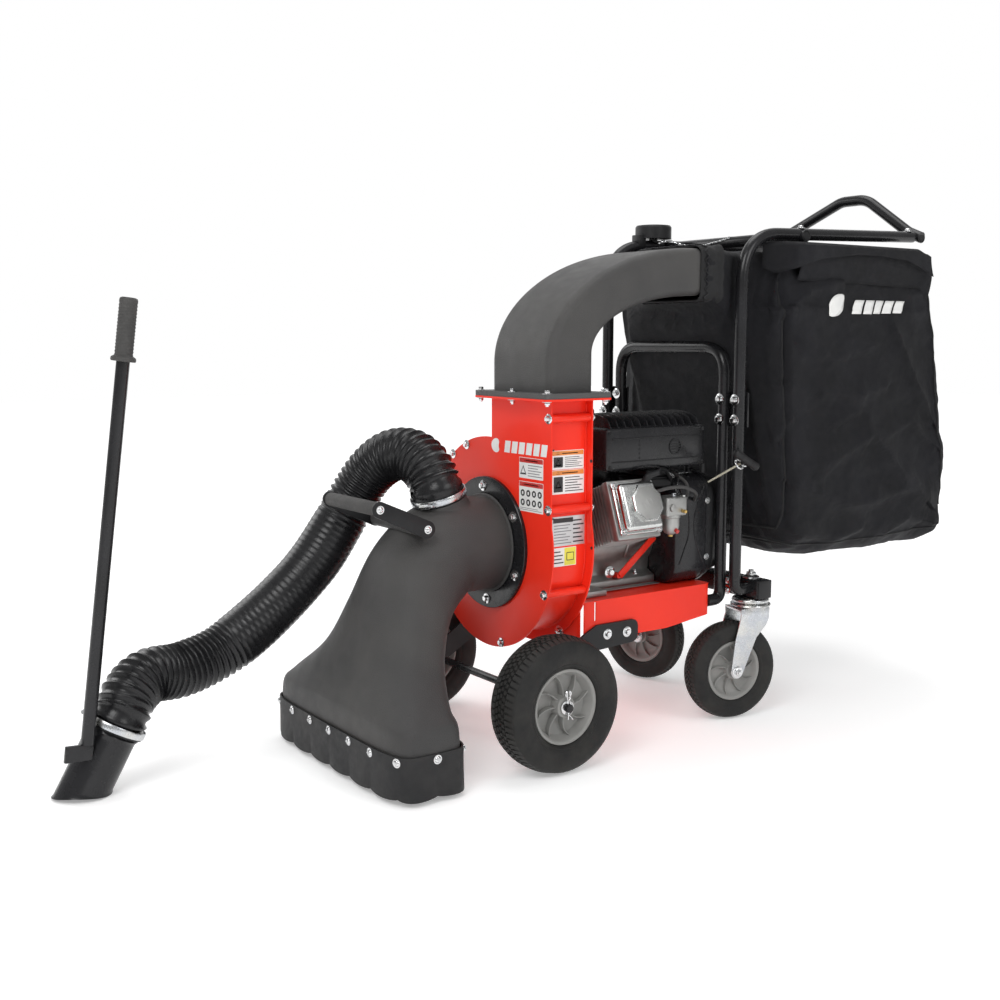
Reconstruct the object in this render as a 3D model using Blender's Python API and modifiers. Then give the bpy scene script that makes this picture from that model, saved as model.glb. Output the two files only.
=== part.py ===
"""A walk-behind leaf vacuum mulcher: floor hood, shredding fan, chute, bag, engine, casters and hand wand.

Metres, +Z up. The machine faces -Y, and its left side is +X. Shapes are written in the machine's own
frame, whose origin is on the ground under the middle of the front axle. The empty named machine moves
that frame back, so that the finished object's origin is the middle of the bottom of its box.
"""

import math

import bmesh
import bpy
from mathutils import Matrix, Vector

# ---- Driving dimensions ----
CENTRE_SHIFT = Vector((0.0, -0.16947, 0.0))  # from the machine's frame to the finished frame
GAP = 0.0004  # between pieces that touch

FRONT_WHEEL_RADIUS = 0.130
FRONT_WHEEL_WIDTH = 0.085
FRONT_WHEEL_X = 0.240
AXLE_RADIUS = 0.008

CASTER_WHEEL_RADIUS = 0.105
CASTER_WHEEL_WIDTH = 0.048
CASTER_X = 0.200
CASTER_Y = 0.560
CASTER_TRAIL = 0.050
CASTER_TURN = {"left": -12.0, "right": 105.0}  # degrees about +Z, from straight ahead

SHAFT_Z = 0.403  # engine shaft and fan, along Y
FAN_PLATE_RADIUS = 0.212
SCROLL_RADIUS = 0.1885
INLET_RADIUS = 0.090
FRONT_PLATE_Y = (0.014, 0.017)
BACK_PLATE_Y = (0.111, 0.114)
DUCT_X = (0.012, 0.205)
FLANGE_Z = 0.6935
SHEET = 0.003

DECK_HALF_WIDTH = 0.175
DECK_Y = (0.1145, 0.466)
DECK_TOP = 0.295
DECK_WALL = 0.0025

TUBE_RADIUS = 0.0125
UPRIGHT_X = 0.210
UPRIGHT_Y = 0.500
HOOP_X = 0.165
HOOP_Y = 0.5022
HANDLE_Y = 1.060
RAIL_Z = (1.0205, 1.0370)  # the rails' height at their front bend and at the push handle
RAIL_BEND = 0.105

HOSE_RADIUS = 0.0525
PORT = Vector((0.0, -0.100, 0.490))
PORT_TILT = math.radians(17.0)
PORT_AXIS = Vector((0.0, -math.sin(PORT_TILT), math.cos(PORT_TILT)))
NOZZLE_TOP = Vector((-0.140, -0.710, 0.110))
NOZZLE_AXIS = Vector((-0.040, -0.478, -0.877)).normalized()
NOZZLE_RADIUS = 0.045
NOZZLE_WALL = 0.003
HANDLE_PIVOT = Vector((0.0, -0.190, 0.458))

# The free hose from the hood's port to the hand nozzle, chosen by hand.
HOSE_ROUTE = (
    (0.0000, -0.10214, 0.49698),
    (0.0000, -0.10681, 0.51228),
    (0.0000, -0.11149, 0.52758),
    (-0.022, -0.118, 0.560),
    (-0.062, -0.129, 0.581),
    (-0.107, -0.146, 0.577),
    (-0.146, -0.167, 0.548),
    (-0.172, -0.190, 0.502),
    (-0.190, -0.222, 0.440),
    (-0.200, -0.280, 0.357),
    (-0.205, -0.370, 0.275),
    (-0.201, -0.470, 0.212),
    (-0.190, -0.560, 0.188),
    (-0.172, -0.632, 0.190),
    (-0.151, -0.674, 0.168),
    (-0.13860, -0.69326, 0.14071),
    (-0.13930, -0.70162, 0.12537),
    (-0.13998, -0.70971, 0.11053),
)


# ---- Scene and materials ----
for old in list(bpy.data.objects):
    bpy.data.objects.remove(old, do_unlink=True)

parts = bpy.data.collections.new("leaf_vacuum_mulcher")
cutters = bpy.data.collections.new("cutters")
bpy.context.scene.collection.children.link(parts)
bpy.context.scene.collection.children.link(cutters)
machine = bpy.data.objects.new("machine", None)
machine.location = CENTRE_SHIFT
parts.objects.link(machine)


def finish(name, colour, roughness, metallic=0.0):
    made = bpy.data.materials.new(name)
    made.use_nodes = True
    shader = made.node_tree.nodes["Principled BSDF"]
    shader.inputs["Base Color"].default_value = (*colour, 1.0)
    shader.inputs["Roughness"].default_value = roughness
    shader.inputs["Metallic"].default_value = metallic
    made.diffuse_color = (*colour, 1.0)
    return made


RED = finish("red_paint", (0.80, 0.035, 0.018), 0.35)
BLACK_PAINT = finish("black_paint", (0.012, 0.012, 0.014), 0.30)
CHARCOAL = finish("charcoal_plastic", (0.045, 0.045, 0.047), 0.60)
BLACK_PLASTIC = finish("black_plastic", (0.015, 0.015, 0.017), 0.45)
GREY_PLASTIC = finish("grey_plastic", (0.28, 0.28, 0.27), 0.50)
TYRE = finish("tyre_rubber", (0.012, 0.012, 0.012), 0.80)
RUBBER = finish("skirt_rubber", (0.015, 0.015, 0.016), 0.65)
HOSE = finish("hose_plastic", (0.010, 0.010, 0.012), 0.30)
ZINC = finish("zinc_plate", (0.55, 0.57, 0.60), 0.35, 1.0)
ALUMINIUM = finish("cast_aluminium", (0.50, 0.50, 0.49), 0.45, 1.0)
FABRIC = finish("bag_fabric", (0.012, 0.012, 0.016), 0.85)
ROPE = finish("rope", (0.75, 0.75, 0.70), 0.90)


# ---- Shape helpers ----
def place(name, data, material, matrix=None, helper=False):
    made = bpy.data.objects.new(name, data)
    (cutters if helper else parts).objects.link(made)
    made.parent = machine
    if matrix is not None:
        made.matrix_local = matrix
    if material:
        data.materials.append(material)
    if helper:
        made.hide_render = True
        made.display_type = "WIRE"
    return made


def towards(direction, at=(0, 0, 0)):
    """The matrix that turns +Z to a direction and moves the origin to a point."""
    turn = Vector(direction).to_track_quat("Z", "Y").to_matrix().to_4x4()
    return Matrix.Translation(Vector(at)) @ turn


def smooth(mesh):
    mesh.shade_smooth()
    mesh.set_sharp_from_angle(angle=math.radians(35))


def box(name, low, high, material=None, round_by=0.0, helper=False, matrix=None):
    low, high = Vector(low), Vector(high)
    mesh = bpy.data.meshes.new(name)
    built = bmesh.new()
    bmesh.ops.create_cube(built, size=1.0)
    bmesh.ops.scale(built, vec=high - low, verts=built.verts)
    bmesh.ops.translate(built, vec=(low + high) / 2, verts=built.verts)
    built.to_mesh(mesh)
    built.free()
    made = place(name, mesh, material, matrix, helper)
    if round_by:
        bevel = made.modifiers.new("rounded", "BEVEL")
        bevel.width = round_by
        bevel.segments = 2
    return made


def rod(name, start, end, radius, material=None, sides=24, end_radius=None, helper=False):
    start, end = Vector(start), Vector(end)
    mesh = bpy.data.meshes.new(name)
    built = bmesh.new()
    bmesh.ops.create_cone(
        built,
        cap_ends=True,
        segments=sides,
        radius1=radius,
        radius2=radius if end_radius is None else end_radius,
        depth=(end - start).length,
    )
    bmesh.ops.transform(built, matrix=towards(end - start, (start + end) / 2), verts=built.verts)
    built.to_mesh(mesh)
    built.free()
    smooth(mesh)
    return place(name, mesh, material, None, helper)


def turned(name, profile, at, axis, material=None, steps=32, closed=True, helper=False):
    """A profile of (radius, height) points turned about an axis; its outer side runs down."""
    mesh = bpy.data.meshes.new(name)
    count = len(profile)
    edges = [(i, i + 1) for i in range(count - 1)]
    if closed:
        edges.append((count - 1, 0))
    mesh.from_pydata([(r, 0.0, h) for r, h in profile], edges, [])
    made = place(name, mesh, material, towards(axis, at), helper)
    screw = made.modifiers.new("turned", "SCREW")
    screw.steps = screw.render_steps = steps
    screw.use_merge_vertices = True
    screw.merge_threshold = 0.00001
    screw.use_smooth_shade = True
    return made


def ring_profile(inner, outer, low, high):
    return [(outer, high), (outer, low), (inner, low), (inner, high)]


def as_mesh(made, material=None):
    """A curve object made a closed mesh object of the same name."""
    graph = bpy.context.evaluated_depsgraph_get()
    mesh = bpy.data.meshes.new_from_object(made.evaluated_get(graph))
    built = bmesh.new()
    built.from_mesh(mesh)
    bmesh.ops.remove_doubles(built, verts=built.verts, dist=0.00001)
    bmesh.ops.recalc_face_normals(built, faces=built.faces)
    built.to_mesh(mesh)
    built.free()
    name, matrix, helper = made.name, made.matrix_local.copy(), made.hide_render
    bpy.data.objects.remove(made)
    mesh.materials.clear()
    solid = place(name, mesh, material, matrix, helper)
    solid.name = name
    smooth(mesh)
    return solid


def tube(name, points, radius, material=None, fineness=3, helper=False):
    curve = bpy.data.curves.new(name, "CURVE")
    curve.dimensions = "3D"
    curve.bevel_depth = radius
    curve.bevel_resolution = fineness
    curve.use_fill_caps = True
    spline = curve.splines.new("POLY")
    spline.points.add(len(points) - 1)
    for point, place_at in zip(spline.points, points):
        point.co = (*place_at, 1.0)
    return place(name, curve, material, None, helper)


def plate(name, outlines, thickness, matrix, material=None, helper=False):
    """A flat sheet from closed outlines, the first outside and the others holes, centred on its plane."""
    curve = bpy.data.curves.new(name, "CURVE")
    curve.dimensions = "2D"
    curve.fill_mode = "BOTH"
    curve.extrude = thickness / 2
    for outline in outlines:
        spline = curve.splines.new("POLY")
        spline.points.add(len(outline) - 1)
        for point, (u, v) in zip(spline.points, outline):
            point.co = (u, v, 0.0, 1.0)
        spline.use_cyclic_u = True
    return as_mesh(place(name, curve, None, matrix, helper), material)


def facing_y(y):
    """A plate's plane across the machine: its outline is (X, Z)."""
    return Matrix(((1, 0, 0, 0), (0, 0, -1, y), (0, 1, 0, 0), (0, 0, 0, 1)))


def facing_x(x):
    """A plate's plane along the machine: its outline is (Y, Z)."""
    return Matrix(((0, 0, 1, x), (1, 0, 0, 0), (0, 1, 0, 0), (0, 0, 0, 1)))


def facing_z(z):
    return Matrix.Translation((0, 0, z))


def arc(u, v, radius, start, end, count):
    """Points on an arc, with angles in degrees."""
    angles = [math.radians(start + (end - start) * i / count) for i in range(count + 1)]
    return [(u + radius * math.cos(a), v + radius * math.sin(a)) for a in angles]


def circle(u, v, radius, count=24):
    return arc(u, v, radius, 0, 360 - 360 / count, count - 1)


def rounded(low, high, radius, count=4):
    """The outline of a rectangle with round corners."""
    (u0, v0), (u1, v1) = low, high
    r = radius
    return (
        arc(u1 - r, v0 + r, r, -90, 0, count)
        + arc(u1 - r, v1 - r, r, 0, 90, count)
        + arc(u0 + r, v1 - r, r, 90, 180, count)
        + arc(u0 + r, v0 + r, r, 180, 270, count)
    )


def bent(points, radius, count=4):
    """A line of straight runs with each corner rounded."""
    points = [Vector(p) for p in points]
    made = [points[0]]
    for before, corner, after in zip(points, points[1:], points[2:]):
        into = (before - corner).normalized()
        out = (after - corner).normalized()
        half = into.angle(out) / 2
        room = min((before - corner).length, (after - corner).length) / 2.1
        reach = min(radius / math.tan(half), room)
        start, end = corner + into * reach, corner + out * reach
        for i in range(count + 1):
            t = i / count
            made.append(start * (1 - t) ** 2 + corner * 2 * t * (1 - t) + end * t**2)
    return made + [points[-1]]


def flowing(points, spacing):
    """A smooth curve through the points (Catmull-Rom), with a point every spacing."""
    points = [Vector(p) for p in points]
    ends = [2 * points[0] - points[1]] + points + [2 * points[-1] - points[-2]]
    fine = []
    for a, b, c, d in zip(ends, ends[1:], ends[2:], ends[3:]):
        for i in range(12):
            t = i / 12
            slope, bend, twist = c - a, 2 * a - 5 * b + 4 * c - d, 3 * b - a - 3 * c + d
            fine.append(0.5 * (2 * b + slope * t + bend * t**2 + twist * t**3))
    fine.append(points[-1])
    lengths = [0.0]
    for a, b in zip(fine, fine[1:]):
        lengths.append(lengths[-1] + (b - a).length)
    count = round(lengths[-1] / spacing)
    made = []
    index = 0
    for i in range(count + 1):
        wanted = lengths[-1] * i / count
        while index < len(fine) - 2 and lengths[index + 1] < wanted:
            index += 1
        share = (wanted - lengths[index]) / (lengths[index + 1] - lengths[index])
        made.append(fine[index].lerp(fine[index + 1], min(share, 1.0)))
    return made


def loft(name, rings, material=None, capped=False, helper=False):
    """A skin over rings of the same count of points."""
    mesh = bpy.data.meshes.new(name)
    built = bmesh.new()
    rows = [[built.verts.new(p) for p in ring] for ring in rings]
    count = len(rows[0])
    for low, high in zip(rows, rows[1:]):
        for i in range(count):
            j = (i + 1) % count
            built.faces.new((low[i], low[j], high[j], high[i]))
    if capped:
        built.faces.new(rows[0])
        built.faces.new(list(reversed(rows[-1])))
    bmesh.ops.recalc_face_normals(built, faces=built.faces)
    built.to_mesh(mesh)
    built.free()
    smooth(mesh)
    return place(name, mesh, material, None, helper)


def combine(base, others, operation):
    """Joins, or cuts away, helper solids with live Booleans."""
    for other in others:
        step = base.modifiers.new(operation.lower(), "BOOLEAN")
        step.operation = operation
        step.object = other
        if other.name not in cutters.objects:
            parts.objects.unlink(other)
            cutters.objects.link(other)
        other.hide_render = True
        other.display_type = "WIRE"
    return base


def join(base, *others):
    return combine(base, others, "UNION")


def cut(base, *others):
    return combine(base, others, "DIFFERENCE")


def origin_at(made, point):
    """Puts a moving piece's origin on its joint's axis; its shape stays where it is."""
    shift = made.matrix_local.inverted() @ Vector(point)
    made.data.transform(Matrix.Translation(-shift))
    made.matrix_local = made.matrix_local @ Matrix.Translation(shift)
    return made


# ---- Front wheels and axle ----
def wheel(name, at, axis, radius, width, rim_radius, bore):
    """A tyre on a plastic rim with a hub; the rim turns on a fixed axle."""
    half = width / 2
    shoulder = 0.82 * radius + 0.18 * rim_radius
    tyre_profile = [
        (rim_radius + GAP, half * 0.72),
        (rim_radius + 0.012, half * 0.90),
        (shoulder, half),
        (radius - 0.006, half * 0.86),
        (radius, half * 0.55),
        (radius, -half * 0.55),
        (radius - 0.006, -half * 0.86),
        (shoulder, -half),
        (rim_radius + 0.012, -half * 0.90),
        (rim_radius + GAP, -half * 0.72),
    ]
    turned(f"{name}_tyre", tyre_profile, at, axis, TYRE, steps=30)
    hub = bore + 0.012
    web = half * 0.22
    rim_profile = [
        (rim_radius, half * 0.72),
        (rim_radius, -half * 0.72),
        (rim_radius - 0.006, -half * 0.72),
        (rim_radius - 0.008, -web),
        (hub + 0.003, -web),
        (hub, -half * 0.80),
        (bore, -half * 0.80),
        (bore, half * 0.80),
        (hub, half * 0.80),
        (hub + 0.003, web),
        (rim_radius - 0.008, web),
        (rim_radius - 0.006, half * 0.72),
    ]
    turned(f"{name}_rim", rim_profile, at, axis, GREY_PLASTIC, steps=24)


for side, sign in (("left", 1), ("right", -1)):
    wheel(
        f"front_{side}",
        (sign * FRONT_WHEEL_X, 0, FRONT_WHEEL_RADIUS),
        (1, 0, 0),
        FRONT_WHEEL_RADIUS,
        FRONT_WHEEL_WIDTH,
        0.072,
        AXLE_RADIUS + GAP,
    )

AXLE_END = FRONT_WHEEL_X + FRONT_WHEEL_WIDTH / 2 + 0.003
rod("front_axle", (-AXLE_END, 0, 0.13), (AXLE_END, 0, 0.13), AXLE_RADIUS, BLACK_PAINT, sides=20)

BRACKET_THICKNESS = 0.005
bracket_outline = (
    arc(0, 0.130, 0.021, 130, 310, 8)
    + [(0.150, 0.196)]
    + arc(0.243, 0.215, 0.014, -90, 0, 3)
    + arc(0.243, 0.233, 0.014, 0, 90, 3)
    + [(0.150, 0.247), (0.118, 0.232)]
)
for side, sign in (("left", 1), ("right", -1)):
    plate(
        f"axle_bracket_{side}",
        [bracket_outline, circle(0, 0.130, AXLE_RADIUS + GAP, 20)],
        BRACKET_THICKNESS,
        facing_x(sign * (DECK_HALF_WIDTH + GAP + BRACKET_THICKNESS / 2)),
        BLACK_PAINT,
    )


# ---- Deck: a folded channel, open below ----
deck = plate(
    "deck",
    [rounded((-DECK_HALF_WIDTH, DECK_Y[0]), (DECK_HALF_WIDTH, DECK_Y[1]), 0.014)],
    0.080,
    facing_z(DECK_TOP - 0.040),
    RED,
)
deck_inside = box(
    "deck_inside",
    (-DECK_HALF_WIDTH + DECK_WALL, DECK_Y[0] + DECK_WALL, 0.15),
    (DECK_HALF_WIDTH - DECK_WALL, DECK_Y[1] - DECK_WALL, DECK_TOP - DECK_WALL),
    helper=True,
)
deck_taper = plate(
    "deck_taper",
    [[(0.34, 0.215), (0.34, 0.10), (0.50, 0.10), (0.50, 0.2337)]],
    0.5,
    facing_x(0),
    helper=True,
)
slots = [
    box(f"deck_slot_{i}", (x - 0.004, 0.147, 0.255), (x + 0.004, 0.151, 0.293), helper=True)
    for i, x in enumerate((-DECK_HALF_WIDTH, DECK_HALF_WIDTH))
]
cut(deck, deck_inside, deck_taper, *slots)


# ---- Caster beam and casters ----
BEAM_Z = (0.260, 0.300)
BEAM_HALF = 0.241
beam = box(
    "caster_beam",
    (-BEAM_HALF, CASTER_Y - 0.020, BEAM_Z[0]),
    (BEAM_HALF, CASTER_Y + 0.020, BEAM_Z[1]),
    BLACK_PAINT,
    round_by=0.004,
)
beam_inside = box(
    "beam_inside",
    (-BEAM_HALF + 0.004, CASTER_Y - 0.0175, BEAM_Z[0] + 0.0025),
    (BEAM_HALF - 0.004, CASTER_Y + 0.0175, BEAM_Z[1] - 0.0025),
    helper=True,
)
STEM_RADIUS = 0.008
stem_holes = [
    rod(f"stem_hole_{i}", (x, CASTER_Y, 0.2), (x, CASTER_Y, 0.4), STEM_RADIUS + GAP, helper=True, sides=20)
    for i, x in enumerate((-CASTER_X, CASTER_X))
]
cut(beam, beam_inside, *stem_holes)


def caster(side, x, turn):
    """A swivel caster: stem and bearing cup held by the beam, fork, and wheel in front of the stem."""
    cup_z = 0.2480
    turned(
        f"caster_stem_{side}",
        [
            (0.0, 0.309),
            (0.0065, 0.309),
            (0.0125, 0.308),
            (0.0125, BEAM_Z[1] + GAP),
            (STEM_RADIUS, BEAM_Z[1] + GAP),
            (STEM_RADIUS, BEAM_Z[0] - GAP),
            (0.034, BEAM_Z[0] - GAP),
            (0.040, cup_z + 0.003),
            (0.036, cup_z),
            (0.0, cup_z),
        ],
        (x, CASTER_Y, 0),
        (0, 0, 1),
        ZINC,
        steps=18,
        closed=False,
    )
    angle = math.radians(turn)
    ahead = Vector((math.sin(angle), -math.cos(angle), 0))
    across = Vector((math.cos(angle), math.sin(angle), 0))
    centre = Vector((x, CASTER_Y, 0)) + ahead * CASTER_TRAIL
    hub_at = centre + Vector((0, 0, CASTER_WHEEL_RADIUS))
    wheel(f"caster_{side}", hub_at, across, CASTER_WHEEL_RADIUS, CASTER_WHEEL_WIDTH, 0.064, 0.0064)

    leg_gap = CASTER_WHEEL_WIDTH / 2 + 0.004
    leg_outline = (
        [(-0.026, 0.2350), (-0.024, 0.205), (0.000, 0.186)]
        + arc(CASTER_TRAIL, CASTER_WHEEL_RADIUS, 0.014, 200, 380, 8)
        + [(0.044, 0.190), (0.047, 0.2350)]
    )
    fork = turned(
        f"caster_fork_{side}",
        [
            (0.0, cup_z - GAP),
            (0.040, cup_z - GAP),
            (0.0425, 0.244),
            (0.0425, 0.240),
            (0.036, 0.233),
            (0.0, 0.233),
        ],
        (x, CASTER_Y, 0),
        (0, 0, 1),
        ZINC,
        steps=24,
        closed=False,
    )
    sides = Matrix((( *ahead, 0), (0, 0, 1, 0), (*across, 0), (0, 0, 0, 1))).transposed()
    legs = [
        plate(
            f"caster_leg_{side}_{i}",
            [leg_outline],
            0.003,
            Matrix.Translation(Vector((x, CASTER_Y, 0)) + across * s * (leg_gap + 0.0015)) @ sides,
            helper=True,
        )
        for i, s in enumerate((-1, 1))
    ]
    axle = rod(
        f"caster_axle_{side}",
        hub_at - across * (leg_gap + 0.010),
        hub_at + across * (leg_gap + 0.010),
        0.006,
        sides=16,
        helper=True,
    )
    crown = box(
        f"caster_crown_{side}",
        (-leg_gap - 0.0042, -0.0485, 0.2322),
        (leg_gap + 0.0042, 0.0275, 0.2372),
        helper=True,
        matrix=Matrix.Translation((x, CASTER_Y, 0)) @ Matrix.Rotation(angle, 4, "Z"),
    )
    join(fork, crown, *legs, axle)


for side, sign in (("left", 1), ("right", -1)):
    caster(side, sign * CASTER_X, CASTER_TURN[side])


# ---- Fan housing: two plates, a rolled scroll between them, spacers, and the outlet flange ----
def plate_outline():
    start = math.degrees(math.asin((0.457 - SHAFT_Z) / FAN_PLATE_RADIUS))
    left = 90 - math.degrees(math.asin(DUCT_X[0] / FAN_PLATE_RADIUS))
    around = arc(0, SHAFT_Z, FAN_PLATE_RADIUS, start, left - 360, 30)
    return [(DUCT_X[1], FLANGE_Z - GAP)] + around + [(DUCT_X[0], FLANGE_Z - GAP)]


def mid(pair):
    return (pair[0] + pair[1]) / 2


plate(
    "front_plate",
    [plate_outline(), circle(0, SHAFT_Z, INLET_RADIUS, 28)],
    SHEET,
    facing_y(mid(FRONT_PLATE_Y)),
    RED,
)
plate("back_plate", [plate_outline(), circle(0, SHAFT_Z, 0.020)], SHEET, facing_y(mid(BACK_PLATE_Y)), RED)

SCROLL_LEFT = 0.019
scroll_meet = math.degrees(math.acos(SCROLL_LEFT / SCROLL_RADIUS))
outside = (
    [(SCROLL_RADIUS, FLANGE_Z - GAP)]
    + arc(0, SHAFT_Z, SCROLL_RADIUS, 0, scroll_meet - 360, 30)
    + [(SCROLL_LEFT, FLANGE_Z - GAP)]
)
inner = SCROLL_RADIUS - SHEET
inner_meet = math.degrees(math.acos((SCROLL_LEFT + SHEET) / inner))
inside = (
    [(SCROLL_LEFT + SHEET, FLANGE_Z - GAP)]
    + arc(0, SHAFT_Z, inner, inner_meet - 360, 0, 30)
    + [(inner, FLANGE_Z - GAP)]
)
SCROLL_Y = (FRONT_PLATE_Y[1] + GAP, BACK_PLATE_Y[0] - GAP)
plate("scroll", [outside + inside], SCROLL_Y[1] - SCROLL_Y[0], facing_y(mid(SCROLL_Y)), RED)

SPACERS = {"top": (0.1970, 0.660), "middle": (0.1970, 0.488), "bottom": (0.1855, 0.325)}
for name, (x, z) in SPACERS.items():
    rod(f"spacer_{name}", (x, SCROLL_Y[0], z), (x, SCROLL_Y[1], z), 0.0075, RED, sides=16)

FLANGE_X = (-0.010, 0.231)
FLANGE_Y = (-0.016, 0.143)
DUCT_HOLE = ((SCROLL_LEFT + SHEET, FRONT_PLATE_Y[1]), (inner, BACK_PLATE_Y[0]))
plate(
    "outlet_flange",
    [rounded((FLANGE_X[0], FLANGE_Y[0]), (FLANGE_X[1], FLANGE_Y[1]), 0.012), rounded(*DUCT_HOLE, 0.004, 1)],
    0.004,
    facing_z(FLANGE_Z + 0.002),
    RED,
)


# ---- Impeller, crankshaft and flywheel ----
IMPELLER_Y = (0.034, 0.096)
impeller = turned(
    "impeller",
    [
        (0.150, 0.096),
        (0.150, 0.092),
        (0.032, 0.092),
        (0.026, IMPELLER_Y[0]),
        (0.0130, IMPELLER_Y[0]),
        (0.0130, 0.096),
    ],
    (0, 0, SHAFT_Z),
    (0, 1, 0),
    BLACK_PAINT,
    steps=32,
)
blades = [
    box(
        f"blade_{i}",
        (0.022, IMPELLER_Y[0] + 0.002, -0.0025),
        (0.162, 0.0925, 0.0025),
        helper=True,
        matrix=Matrix.Translation((0, 0, SHAFT_Z)) @ Matrix.Rotation(math.radians(90 * i + 20), 4, "Y"),
    )
    for i in range(4)
]
join(impeller, *blades)
rod("crankshaft", (0, 0.036, SHAFT_Z), (0, 0.4285, SHAFT_Z), 0.0125, ZINC, sides=24)
turned(
    "flywheel",
    [(0.088, 0.428), (0.088, 0.396), (0.030, 0.390), (0.0130, 0.390), (0.0130, 0.428)],
    (0, 0, SHAFT_Z),
    (0, 1, 0),
    ALUMINIUM,
    steps=24,
)


# ---- Engine ----
CASE_Y = (BACK_PLATE_Y[1] + GAP, 0.3742)
case_outline = (
    [(-0.100, 0.2955), (0.100, 0.2955), (0.100, 0.312), (0.078, 0.322)]
    + arc(0.0, SHAFT_Z, 0.098, -35, 200, 16)
    + [(-0.080, 0.322), (-0.100, 0.312)]
)
crankcase = plate(
    "crankcase",
    [case_outline, circle(0, SHAFT_Z, 0.0130)],
    CASE_Y[1] - CASE_Y[0],
    facing_y(mid(CASE_Y)),
    ALUMINIUM,
)

# The cylinder leans up from level, towards the machine's left.
LEAN = math.radians(20)
CYLINDER = Matrix.Translation((0, 0.236, SHAFT_Z)) @ Matrix.Rotation(-LEAN, 4, "Y")
cylinder = box(
    "cylinder", (0.1002, -0.040, -0.040), (0.200, 0.040, 0.040), ALUMINIUM, round_by=0.006, matrix=CYLINDER
)
fins = [
    box(f"fin_{i}", (x, -0.054, -0.056), (x + 0.004, 0.054, 0.060), helper=True, matrix=CYLINDER)
    for i, x in enumerate((0.112, 0.124, 0.136, 0.148, 0.160, 0.172))
]
head = box("head", (0.184, -0.056, -0.058), (0.1995, 0.056, 0.062), helper=True, matrix=CYLINDER)
join(cylinder, *fins, head)
rocker = box(
    "rocker_cover",
    (0.2004, -0.052, -0.050),
    (0.226, 0.052, 0.056),
    ALUMINIUM,
    round_by=0.008,
    matrix=CYLINDER,
)
boss = rod("rocker_boss", (0.215, 0.004, 0.002), (0.231, 0.004, 0.002), 0.040, sides=8, helper=True)
boss.matrix_local = CYLINDER
join(rocker, boss)

GUARD_LOW = Vector((0.030, 0.176, 0.547))
GUARD_HIGH = Vector((0.172, 0.444, 0.634))
guard = box("muffler_guard", GUARD_LOW, GUARD_HIGH, BLACK_PAINT, round_by=0.008)
LOUVRES = 8
louvres = [
    box(
        f"louvre_{i}",
        (GUARD_LOW.x + 0.006, GUARD_LOW.y + 0.012 + 0.033 * i, GUARD_HIGH.z - 0.004),
        (GUARD_HIGH.x - 0.006, GUARD_LOW.y + 0.017 + 0.033 * i, GUARD_HIGH.z + 0.022),
        helper=True,
    )
    for i in range(LOUVRES)
]
guard_foot = box("guard_foot", (0.040, 0.215, 0.5022), (0.080, 0.290, 0.550), helper=True)
join(guard, guard_foot, *louvres)

carburettor = box("carburettor", (0.168, 0.3060, 0.452), (0.208, 0.362, 0.492), ALUMINIUM, round_by=0.004)
bowl = rod("carburettor_bowl", (0.188, 0.334, 0.412), (0.188, 0.334, 0.456), 0.015, sides=16, helper=True)
bowl.data.name = "bowl"
intake = rod("carburettor_throat", (0.110, 0.334, 0.474), (0.172, 0.334, 0.474), 0.014, sides=16, helper=True)
join(carburettor, bowl, intake)

box("air_filter", (0.030, 0.3022, 0.5045), (0.150, 0.372, 0.5466), BLACK_PLASTIC, round_by=0.006)
box("fuel_tank", (-0.155, 0.180, 0.5295), (0.0290, 0.405, 0.640), BLACK_PAINT, round_by=0.020)
CAP = Vector((-0.060, 0.300, 0.6404))
turned(
    "fuel_cap",
    [(0.0, 0.020), (0.024, 0.020), (0.028, 0.016), (0.028, 0.0), (0.0, 0.0)],
    CAP,
    (0, 0, 1),
    BLACK_PLASTIC,
    steps=24,
    closed=False,
)

BLOWER_Y = (0.3746, 0.4666)
blower = plate(
    "blower_housing",
    [rounded((-0.160, 0.2955), (0.160, 0.528), 0.045, 5)],
    BLOWER_Y[1] - BLOWER_Y[0],
    facing_y(mid(BLOWER_Y)),
    BLACK_PAINT,
)
blower_inside = plate(
    "blower_inside",
    [rounded((-0.157, 0.2985), (0.157, 0.525), 0.042, 5)],
    0.100,
    facing_y(BLOWER_Y[0] + 0.003 + 0.050),
    helper=True,
)
shaft_way = rod("shaft_way", (0, 0.35, SHAFT_Z), (0, 0.40, SHAFT_Z), 0.020, helper=True)
cut(blower, blower_inside, shaft_way)

RECOIL_Y = (0.4670, 0.4862)
RECOIL_BACK = 0.5320  # the cover bulges out between the guard hoop's legs
recoil = plate(
    "recoil_cover",
    [rounded((-0.160, 0.2985), (0.160, 0.525), 0.050, 5)],
    RECOIL_Y[1] - RECOIL_Y[0],
    facing_y(mid(RECOIL_Y)),
    BLACK_PLASTIC,
)
recoil_bulge = plate(
    "recoil_bulge",
    [rounded((-0.1475, 0.3110), (0.1475, 0.5125), 0.042, 5)],
    RECOIL_BACK - 0.480,
    facing_y(mid((0.480, RECOIL_BACK))),
    helper=True,
)
recoil_inside = plate(
    "recoil_inside",
    [rounded((-0.157, 0.3015), (0.157, 0.522), 0.047, 5)],
    0.060,
    facing_y(RECOIL_Y[1] - 0.003 - 0.030),
    helper=True,
)
bulge_inside = plate(
    "bulge_inside",
    [rounded((-0.1445, 0.3140), (0.1445, 0.5095), 0.039, 5)],
    0.080,
    facing_y(RECOIL_BACK - 0.003 - 0.040),
    helper=True,
)
vents = [
    box(f"vent_{i}", (-0.05, 0.51, 0.36 + 0.018 * i), (0.05, 0.55, 0.368 + 0.018 * i), helper=True)
    for i in range(6)
]
join(recoil, recoil_bulge)
cut(recoil, recoil_inside, bulge_inside, *vents)

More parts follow.
